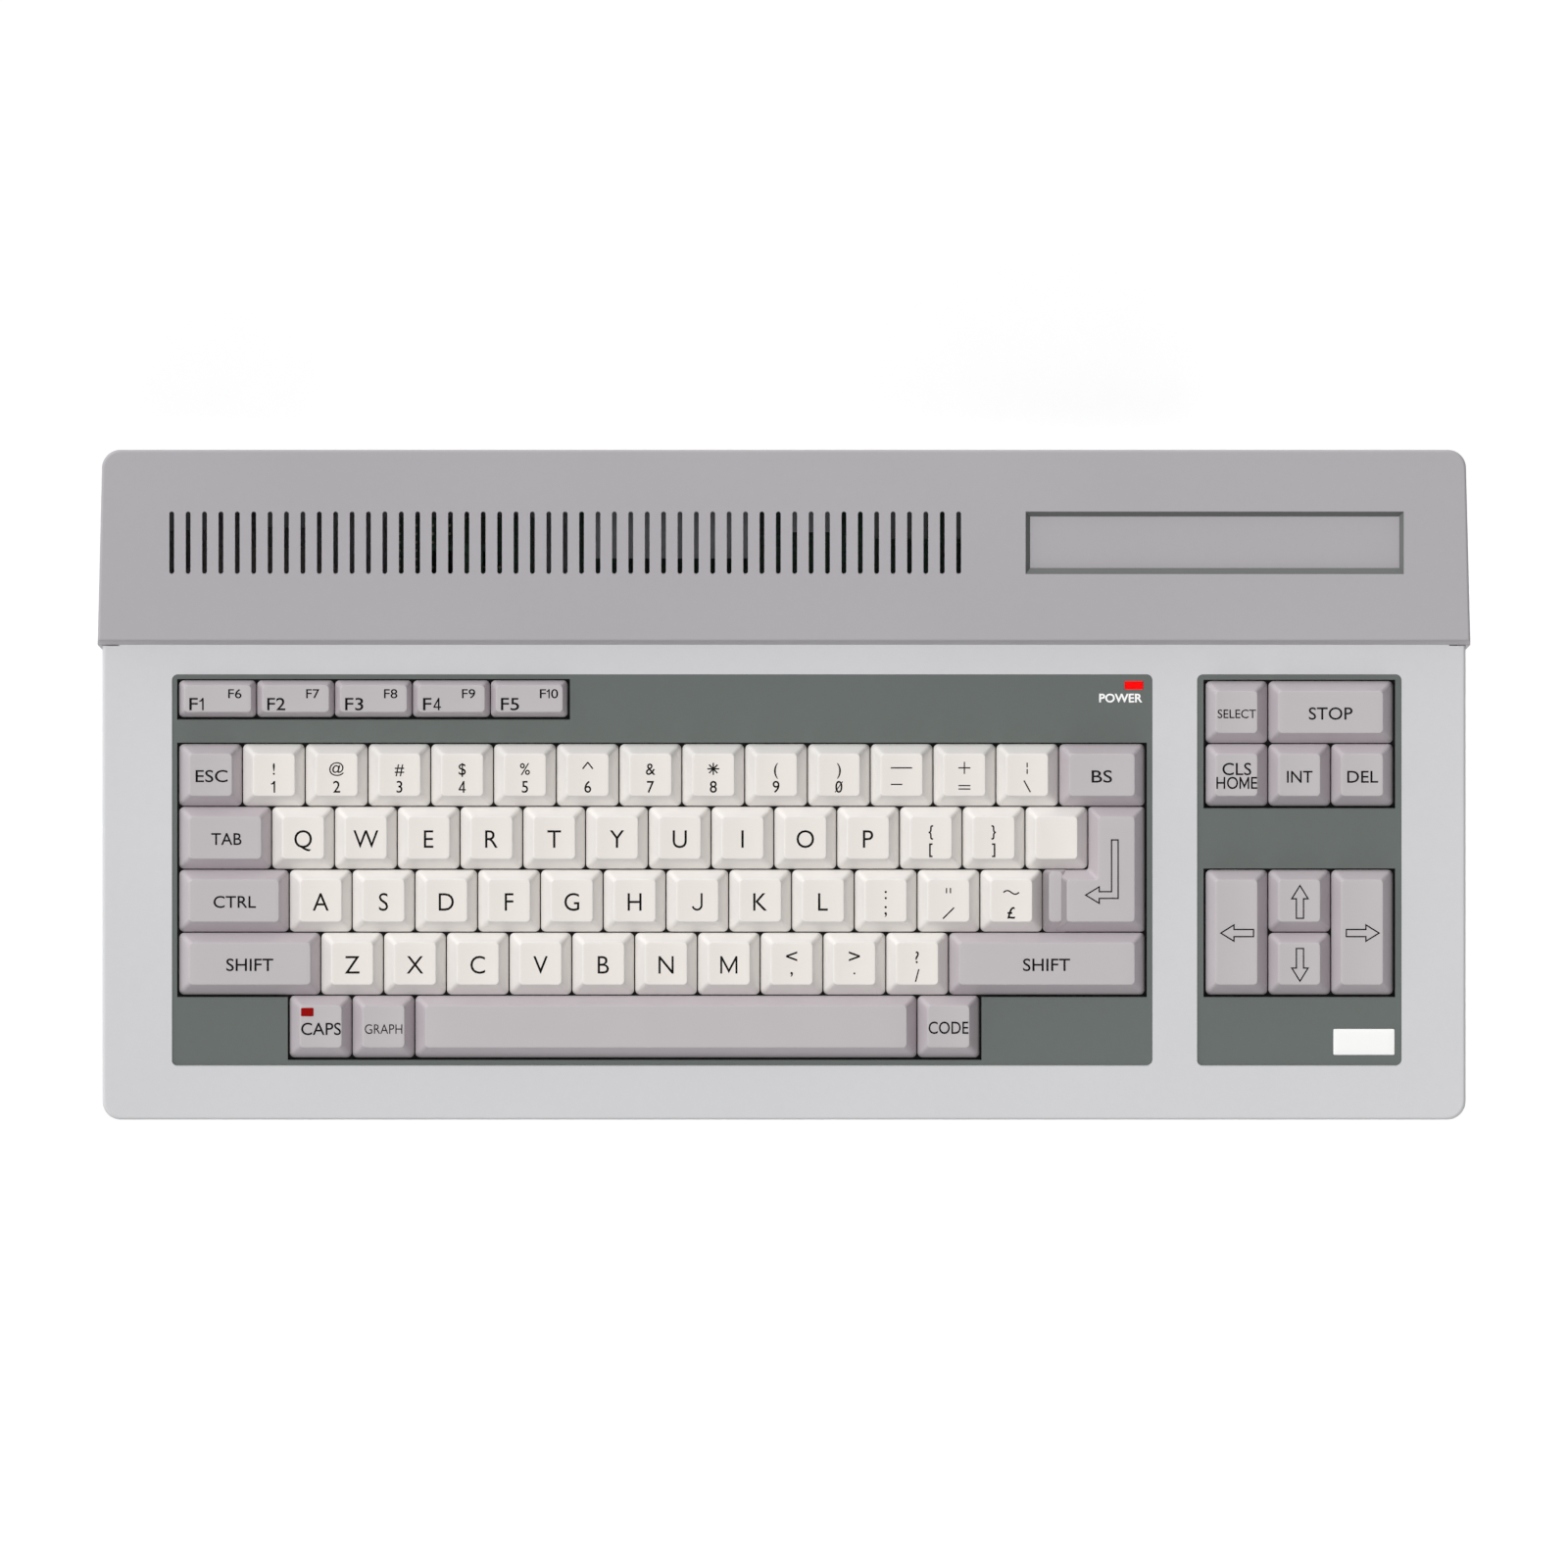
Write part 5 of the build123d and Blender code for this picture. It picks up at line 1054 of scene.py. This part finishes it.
homeLegends[6] = letterJ(-0.1, 0, legendShape["letterHigh"])
lowerLegends = letters("ZXCVBN") + [
    letterM(0, 0, legendShape["letterHigh"], 5.2),
    [word("<", 0, 2.6, 3.0, 3.4, boxed=True), word(",", 0, -2.9, 1.5, boxed=True)],
    [word(">", 0, 2.6, 3.0, 3.4, boxed=True), word(".", 0, -2.6, 0.6, boxed=True)],
    [word("?", 0, 2.3, 3.55), word("/", 0, -3.25, 3.9, boxed=True)],
]
keyLegends = {
    "number_row_keys": numberLegends, "upper_row_keys": upperLegends,
    "home_row_keys": homeLegends, "lower_row_keys": lowerLegends,
}
keyWords = {   # text, its middle, height of its capitals, width
    "escape_key": ("ESC", 0.3, 0, 3.65, 9.75), "tab_key": ("TAB", 0.35, 0, 3.6, 9.2),
    "backspace_key": ("BS", 0, -0.1, 3.7, 6.2), "control_key": ("CTRL", 0.2, 0, 3.6, 12.9),
    "left_shift_key": ("SHIFT", 0, 0, 3.75, 14.3), "right_shift_key": ("SHIFT", -0.1, 0, 3.75, 14.3),
    "caps_key": ("CAPS", 0.1, -0.35, 3.7, 12.1), "graph_key": ("GRAPH", 0, -0.4, 2.85, 11.4, legendShape["letter"]),
    "code_key": ("CODE", 0, 0, 3.7, 12.1), "select_key": ("SELECT", 0.1, -0.2, 2.6, 11.65),
    "stop_key": ("STOP", 0, -0.1, 3.7, 13.3), "clear_key": ("CLS", 0.1, 2.15, 3.7, 8.76),
    "insert_key": ("INT", 0.15, -0.2, 3.6, 7.8), "delete_key": ("DEL", 0.2, -0.2, 3.6, 9.4),
}
keyLegends |= {node: [[word(*wording)]] for node, wording in keyWords.items()}
keyLegends["clear_key"][0] += [word("HO", -2.82, -2.05, 3.65, 6.57), word("E", 5.35, -2.05, 3.65, 1.91)]
keyLegends["clear_key"][0] += letterM(2.37, -2.05, 3.65, 3.0, 0.48)
keyArrows = {
    "arrow_left_key": (0, 0.2, 0.1), "arrow_up_key": (3, 0.2, 0),
    "arrow_down_key": (1, 0.2, 0), "arrow_right_key": (2, 0.2, 0.1),
}
keyLegends |= {node: [[blockArrow(*turned)]] for node, turned in keyArrows.items()}

# A function key: its name at the lower left, the shifted one at the upper right, measured from its edges.
functionShape = {
    "left": 3.2, "shiftedLeft": 15.0, "low": 4.47, "high": 3.83,
    "tall": 3.75, "wide": 5.5, "letterWide": 2.55, "one": 4.1, "four": 4.3,
    "small": 2.75, "smallWide": 4.05, "smallLetterWide": 1.9, "ten": (2.8, 3.4), "zeroWide": 2.15,
}
for i in range(5):
    s = functionShape
    x, y, tall = s["left"] - layout["functionWidth"] / 2, s["low"] - layout["functionDepth"] / 2, s["tall"]
    marks = [word(f"F{i + 1}", x, y, tall, s["wide"], left=True)]
    if i in (0, 3):
        marks = [word("F", x, y, tall, s["letterWide"], left=True)]
        marks += one(x + s["one"], y, tall) if i == 0 else four(x + s["four"], y, tall)
    x, y, tall = s["shiftedLeft"] - layout["functionWidth"] / 2, layout["functionDepth"] / 2 - s["high"], s["small"]
    if i < 4:
        marks.append(word(f"F{i + 6}", x, y, tall, s["smallWide"], left=True))
    else:
        marks.append(word("F", x, y, tall, s["smallLetterWide"], left=True))
        marks.append(word("0", x + s["ten"][1], y, tall, s["zeroWide"], left=True))
        marks += one(x + s["ten"][0], y, tall, legendShape["outline"])
    keyLegends[f"function_key_{i + 1}"] = [marks]


def laidOnCap(part, node, place):
    # drops a printed part onto a cap: w is the cap's top less its dish, sunk at its foot and proud at its top
    x, y, width, depth = place
    height, inset, dish = capSizes(node, width)
    points, quads, tris = part
    halfTop = (width - capShape["gap"]) / 2 - inset
    lift = points[:, 2] * (legendShape["proud"] + legendShape["sunk"]) - legendShape["sunk"]
    w = capShape["foot"] + height - dishDrop(points[:, 0], halfTop, dish) + lift
    v = deckV(points[:, 1] + y, w)
    return laid((np.stack([points[:, 0] + x, v, w], -1), quads, tris))


for node, legends in keyLegends.items():
    parts = [laidOnCap(part, node, place) for place, marks in zip(keyPlaces[node], legends) for part in marks]
    makePiece(f"{node}_legend", joined(parts), "darkInk", node, sharp=20)


def printedOnDeck(part, level, sunk, thick):
    # a flat print seen at x and y from above, that stands at a level of the deck
    points, quads, tris = part
    w = level + points[:, 2] * thick - sunk
    return laid((np.stack([points[:, 0], deckV(points[:, 1], w), w], -1), quads, tris))


# The return key's bent arrow: a shaft down the tall leg, an elbow, and a head that points left.
bentArrow = {
    "left": 99.4, "right": 101.41, "top": -16.76, "elbow": -32.46, "foot": -34.51, "tip": (91.54, -33.5),
    "neck": 95.67, "head": (-31.0, -36.0), "thick": 0.15,
}
s = bentArrow
arrow = outlined([
    (s["right"], s["top"]), (s["right"], s["foot"]), (s["neck"], s["foot"]), (s["neck"], s["head"][1]), s["tip"],
    (s["neck"], s["head"][0]), (s["neck"], s["elbow"]), (s["left"], s["elbow"]), (s["left"], s["top"]),
])
arrow = printedOnDeck(arrow, capShape["foot"] + capShape["height"], legendShape["sunk"], s["thick"])
makePiece("return_key_legend", arrow, "darkInk", "return_key", sharp=20)

powerWord = {"place": (102.2, 26.3, 2.65, 13.1), "level": -1.0, "sunk": 0.08, "thick": 0.12}
s = powerWord
power = printedOnDeck(word("POWER", *s["place"], legendShape["bold"]), s["level"], s["sunk"], s["thick"])
makePiece("power_word", power, "whiteInk", "case", sharp=20)
print("legends made:", len(keyLegends) + 2)


# The lights and the blank plate: width, depth, level of the top, thickness, corner and rolled edge.
plateShape = {
    "power": (5.5, 2.4, -0.8, 7.3, 0.3, 0.25), "caps": (3.9, 2.6, 7.1, 2.9, 0.3, 0.25),
    "badge": (18.6, 7.9, -0.75, 0.8, 0.35, 0.18),
}
platePlace = {"power": (106.2, 30.0), "caps": (-4.1, 4.4), "badge": (176.0, -78.2)}


def deckPlate(name, x, v):
    # a plate on the deck, with its middle at x and v
    return laid(moved(roundedPad(*plateShape[name], cornerWalk(4, 2)), x, v, 0))


x, y = platePlace["power"]
makePiece("power_light", deckPlate("power", x, deckV(y)), "redLens", "case", ["power_led"])
capsX, capsY = keyPlaces["caps_key"][0][:2]
x, y = platePlace["caps"]
capsLight = deckPlate("caps", capsX + x, deckV(capsY) + y + capShape["height"] * deckTan)
makePiece("caps_light", capsLight, "darkRedLens", "caps_key", ["caps_led"])
x, y = platePlace["badge"]
makePiece("blank_plate", deckPlate("badge", x, deckV(y)), "badgePlate", "case", ["blank_badge"])
print("lights and badge made")


# The slanted rim of the cartridge mouth, lined in dark plastic as painted shade, in the hood's own frame: v runs up its
# slope, w out of its top.
hoodPlace = {"midY": 43.55, "midZ": 57.8283, "slope": 4.0}
trimShape = {
    "x": 130.7, "y": 73.4, "width": 114.8, "depth": 19.0, "rimX": 1.35, "rimY": 1.65, "deep": 2.5, "proud": 0.06,
    "play": 0.02,
}


def mouthShadeLining():
    # a dark lining on the rim, whose colour paints the shade of the recess: four corners carried through a thin wedge
    # from the hood's top down to its underside
    s = trimShape
    cosine = math.cos(math.radians(hoodPlace["slope"]))
    top, foot = -s["play"], 0.05 - s["deep"]
    loops = []
    for proud, share, w in ((0, 0, top), (s["proud"], 0, top), (s["proud"], 1, foot), (0, 1, foot)):
        x = s["width"] / 2 - s["rimX"] * share - proud + s["play"]
        v = (s["depth"] / 2 - s["rimY"] * share) / cosine - proud + s["play"]
        loops.append([(-x, -v, w), (x, -v, w), (x, v, w), (-x, v, w)])
    points, quads, tris = ringSkin(np.array(loops)[::-1])
    middle = (s["y"] - hoodPlace["midY"]) / cosine
    return onSlope(points + (s["x"], middle, 0), hoodPlace), quads, tris


makePiece("mouth_trim", mouthShadeLining(), "trimPlastic", "case")

# The sockets at the rear and on the right; y is the socket panel's outer face.
panel = {"y": 91.15, "z": 20.5}


def atPanel(part, x, depth=0.0, rise=0.0):
    # stands a turned part on the socket panel so that its axis points backwards
    return turnedTo((0, 2, 1), part, (x, panel["y"] + depth, panel["z"] + rise))


def atEach(part, xs, depth):
    # the same at each socket of a kind
    return joined([atPanel(part, x, depth) for x in xs])


# Phono sockets: a pale sleeve round each contact, just proud of the socket's end.
phonoShape = {"xs": (-46.0, -22.0, 8.0), "end": 9.0, "outer": 3.4, "inner": 1.78, "proud": 0.25}
s = phonoShape
shoulder = 0.8 * s["proud"]
insulator = turnedRing([
    (s["outer"], 0), (s["outer"], shoulder), (s["outer"] - 0.2, s["proud"]),
    (s["inner"] + 0.15, s["proud"]), (s["inner"], shoulder), (s["inner"], 0),
])
makePiece("phono_insulators", atEach(insulator, s["xs"], s["end"]), "sleeveInsulator", "case")

# Round sockets: contacts on a part of a circle and one in the middle, in a black face inside a shield.
dinShape = {
    "xs": (34.0, 58.0), "floor": -7.0, "face": 6.4, "pin": 0.62, "bore": 0.28, "circle": 3.6, "span": 262, "count": 7,
    "shield": 6.62, "shieldBore": 6.26, "shieldDeep": 7.05,
}
s = dinShape
face = lathe([(0.3, 0.3), (s["face"] - 0.4, 0.3), (s["face"], 0.1), (s["face"], -0.2), (0.3, -0.2)], 32)
rim = s["shieldDeep"] - 0.15
shield = turnedRing([
    (s["shield"], 0.0), (s["shield"], rim), (s["shield"] - 0.12, s["shieldDeep"]),
    (s["shieldBore"] + 0.1, s["shieldDeep"]), (s["shieldBore"], rim), (s["shieldBore"], 0.0),
])
contact = turnedRing([
    (s["pin"], 0.25), (s["pin"], 0.5), (s["pin"] - 0.1, 0.6),
    (s["bore"] + 0.08, 0.6), (s["bore"], 0.5), (s["bore"], 0.25),
])
turns = np.radians(270 + np.linspace(-s["span"] / 2, s["span"] / 2, s["count"]) + 180)
spots = s["circle"] * np.stack([np.cos(turns), np.sin(turns), 0 * turns], -1)
spots = np.concatenate([spots, [(0, 0, 0)]])
contacts = repeated(contact, spots)
makePiece("din_faces", atEach(face, s["xs"], s["floor"]), "blackPlastic", "case")
makePiece("din_shields", atEach(shield, s["xs"], s["floor"]), "nickel", "case")
makePiece("din_contacts", atEach(contacts, s["xs"], s["floor"]), "contactGold", "case")

# Printer connector: a row of flat strips above its tongue, and the same mirrored below.
printerShape = {
    "x": 100.0, "count": 18, "pitch": 2.77, "width": 1.3, "thick": 0.16, "face": 1.3, "back": -4.9, "front": 2.7,
}
s = printerShape
strip = roundedPad(s["width"], s["front"] - s["back"], s["thick"], s["thick"] + 0.1, 0.2, 0.08, cornerWalk(2, 0))
strip = moved(strip, 0, panel["y"] + (s["front"] + s["back"]) / 2, panel["z"] + s["face"])
mirrored = strip[0] * (1, 1, -1) + (0, 0, 2 * panel["z"])
row = [(s["x"] + (i - (s["count"] - 1) / 2) * s["pitch"], 0, 0) for i in range(s["count"])]
strips = joined([repeated(strip, row), repeated((mirrored, strip[1][:, ::-1], strip[2][:, ::-1]), row)])
makePiece("printer_contacts", strips, "contactGold", "case")


def roundPin(radius, length):
    # a contact pin with a rounded tip: radius r cos a at height length - r + r sin a
    turn = np.radians(np.linspace(80, 0, 6))
    tip = np.stack([radius * np.cos(turn), length - radius + radius * np.sin(turn)], -1)
    return lathe(np.concatenate([tip, [(radius, 0.0)]]), 16)


# Mains inlet: two round pins. Game ports: nine pins in two rows.
inletShape = {"x": -182.0, "root": -9.1, "length": 7.7, "radius": 1.28, "spread": 4.3}
s = inletShape
pins = [atPanel(roundPin(s["radius"], s["length"]), s["x"] + side * s["spread"], s["root"]) for side in (-1, 1)]
makePiece("inlet_pins", joined(pins), "nickel", "case")

portShape = {
    "face": 206.85, "ys": (2.0, 44.0), "z": 16.5, "root": -6.1, "length": 5.2, "radius": 0.56,
    "pitch": 2.77, "row": 1.42,
}
s = portShape
pin = roundPin(s["radius"], s["length"])
pins = [
    turnedTo((2, 1, 0), pin, (s["face"] + s["root"], mid + (i - (count - 1) / 2) * s["pitch"], s["z"] + rise))
    for mid in s["ys"] for count, rise in ((5, s["row"]), (4, -s["row"])) for i in range(count)
]
makePiece("port_pins", joined(pins), "contactGold", "case")
print("sockets finished")

# The marks on the two faces of the power rocker; while it is off, the upper face leans by the whole throw.
rockerShape = {
    "x": -152.0, "y": 88.55, "valley": 3.0, "throw": 16.0, "proud": 0.05, "sunk": 0.15, "reach": 5.1, "line": 0.5,
    "high": 3.2, "ring": (1.05, 1.5), "ringRise": -4.7,
}


def onRocker(part, lean, rise):
    # lays a flat mark on one face: its own y runs up the face, its z out of it
    s = rockerShape
    half, turn = math.radians(s["throw"] / 2), math.radians(lean)
    x, along, out = (part[0] * (-1, 1, s["proud"] + s["sunk"]) + (0, rise, -s["sunk"])).T
    y = s["valley"] * math.cos(half) + along * math.sin(turn) + out * math.cos(turn)
    z = -s["valley"] * math.sin(half) + along * math.cos(turn) - out * math.sin(turn)
    return np.stack([x + s["x"], y + s["y"], z + panel["z"]], -1), part[1], part[2]


s = rockerShape
turn = np.linspace(0, 2 * np.pi, 25)[:-1]
ring = outlined(np.stack([s["ring"][0] * np.cos(turn), s["ring"][1] * np.sin(turn)], -1), s["line"])
marks = joined([
    onRocker(bar(-s["line"] / 2, s["line"] / 2, -s["high"] / 2, s["high"] / 2), s["throw"], s["reach"]),
    onRocker(ring, 0, s["ringRise"]),
])
makePiece("rocker_marks", marks, "whiteInk", "power_rocker", sharp=20)

# A foot: a turned pad with a rolled edge and a dimple in its sole.
footShape = {
    "xs": (-180.85, 180.85), "ys": (-79.65, 79.65), "radius": 8.0, "top": 4.0, "edge": 0.9, "dimple": 5.4, "deep": 0.6,
}
s = footShape
bend = np.radians(np.linspace(0, 90, 5))
edge = np.stack([s["radius"] - s["edge"] + s["edge"] * np.cos(bend), s["edge"] - s["edge"] * np.sin(bend)], -1)
foot = lathe(np.concatenate([
    [(0.4, s["top"]), (s["radius"], s["top"])], edge,
    [(s["dimple"], 0.0), (s["dimple"] - 0.4, s["deep"] - 0.1), (s["dimple"] - 1.0, s["deep"]), (0.4, s["deep"])],
]), 40)
feet = repeated(foot, [(x, y, 0) for x in s["xs"] for y in s["ys"]])
makePiece("foot_pads", feet, "footRubber", "case", ["rubber_feet"])
print("rocker marks and feet made")

# How the frame's own nodes are finished.
nodeFinishes = {
    "deckPlastic": ("lower_case", "front_deck"),
    "hoodPlastic": ("rear_hood", "cartridge_door"),
    "bezelPlastic": ("main_key_bezel", "side_key_bezel"),
    "blackPlastic": (
        "keyboard_frame", "cartridge_bay", "cartridge_connector", "mains_inlet", "switch_body",
        "power_rocker", "din_sockets", "printer_connector", "joystick_ports",
    ),
    "cableSkin": ("ribbon_cable",),
    "solderMask": ("keyboard_board", "main_board", "power_board"),
    "chipPlastic": ("board_chips",),
    "zincSteel": ("case_screws", "door_hinge_pin"),
    "springSteel": ("door_spring", "space_bar_wire"),
    "coreSteel": ("power_transformer",),
    "tinnedCan": ("rf_modulator",),
}
for material, members in nodeFinishes.items():
    for node in members:
        shown = frame["nodes"][node]
        if not shown.material_slots:
            shown.data.materials.append(materials[material])
        for socket in shown.material_slots:
            socket.material = materials[material]
print("nodes dressed")


floorShape = {"half": 1.6, "steps": 9}
grid = np.linspace(-floorShape["half"], floorShape["half"], floorShape["steps"])
gridX, gridY = np.meshgrid(grid, grid)
corner = np.arange(floorShape["steps"] - 1)
near = (corner[:, None] * floorShape["steps"] + corner[None]).ravel()
far = near + floorShape["steps"]
faces = np.stack([near, near + 1, far + 1, far], -1)
floorPoints = np.stack([gridX.ravel(), gridY.ravel(), np.zeros(gridX.size)], -1)
floorMesh = bpy.data.meshes.new("pale_floor")
floorMesh.from_pydata(floorPoints.tolist(), [], faces.tolist())
floorMesh.materials.append(painted("paleFloor", paleFloor, floorLook))
floor = bpy.data.objects.new("pale_floor", floorMesh)
bpy.context.scene.collection.objects.link(floor)

lightSet = {
    "sky": 0.45,
    "lamps": (   # name, strength, towards it, spread in degrees
        ("upperLeft", 2.69, (-0.54, 0.54, 0.646), 25),
        ("front", 0.5, (0.0, -0.9, 0.436), 40),
    ),
    # what stands inside takes its light through the openings only, so there each lamp throws shadows
    "inside": (
        "lower_case", "keyboard_frame", "keyboard_board", "rubber_sheet", "main_board", "board_chips", "power_board",
        "power_transformer", "ribbon_cable", "rf_modulator", "cartridge_bay", "cartridge_connector", "door_spring",
        "door_hinge_pin", "space_bar_wire", "case_screws",
    ),
}
world = bpy.data.worlds.new("studio")
bpy.context.scene.world = world
world.use_nodes = True
sky = Finish(world.node_tree)
glow = sky.node("ShaderNodeBackground", {}, {
    "Color": (1, 1, 1, 1), "Strength": lightSet["sky"] + sky.shown() * (1 - lightSet["sky"]),
})
sky.node("ShaderNodeOutputWorld", {}, {"Surface": glow})

lit = {True: bpy.data.collections.new("outside"), False: bpy.data.collections.new("inside")}
for shown in bpy.context.scene.collection.all_objects:
    if shown.type == "MESH":
        lit[shown.name not in lightSet["inside"] and not shown.name.endswith("_domes")].objects.link(shown)
for name, strength, toward, spread in lightSet["lamps"]:
    for outside, receivers in lit.items():
        lamp = bpy.data.lights.new(name, "SUN")
        lamp.energy = strength
        lamp.angle = math.radians(spread)
        lamp.use_shadow = not outside
        carrier = bpy.data.objects.new(name + receivers.name.capitalize(), lamp)
        carrier.rotation_mode = "QUATERNION"
        carrier.rotation_quaternion = Vector(toward).to_track_quat("Z", "Y")
        carrier.light_linking.receiver_collection = receivers
        bpy.context.scene.collection.objects.link(carrier)

cameraSet = {"width": 0.47584, "height": 1.2, "forward": 0.00022}
lensData = bpy.data.cameras.new("above")
lensData.type = "ORTHO"
lensData.ortho_scale = cameraSet["width"]
camera = bpy.data.objects.new("above", lensData)
camera.location = (0, cameraSet["forward"], cameraSet["height"])
bpy.context.scene.collection.objects.link(camera)
bpy.context.scene.camera = camera
bpy.context.scene.view_settings.view_transform = "Standard"
print("floor, light and camera set")
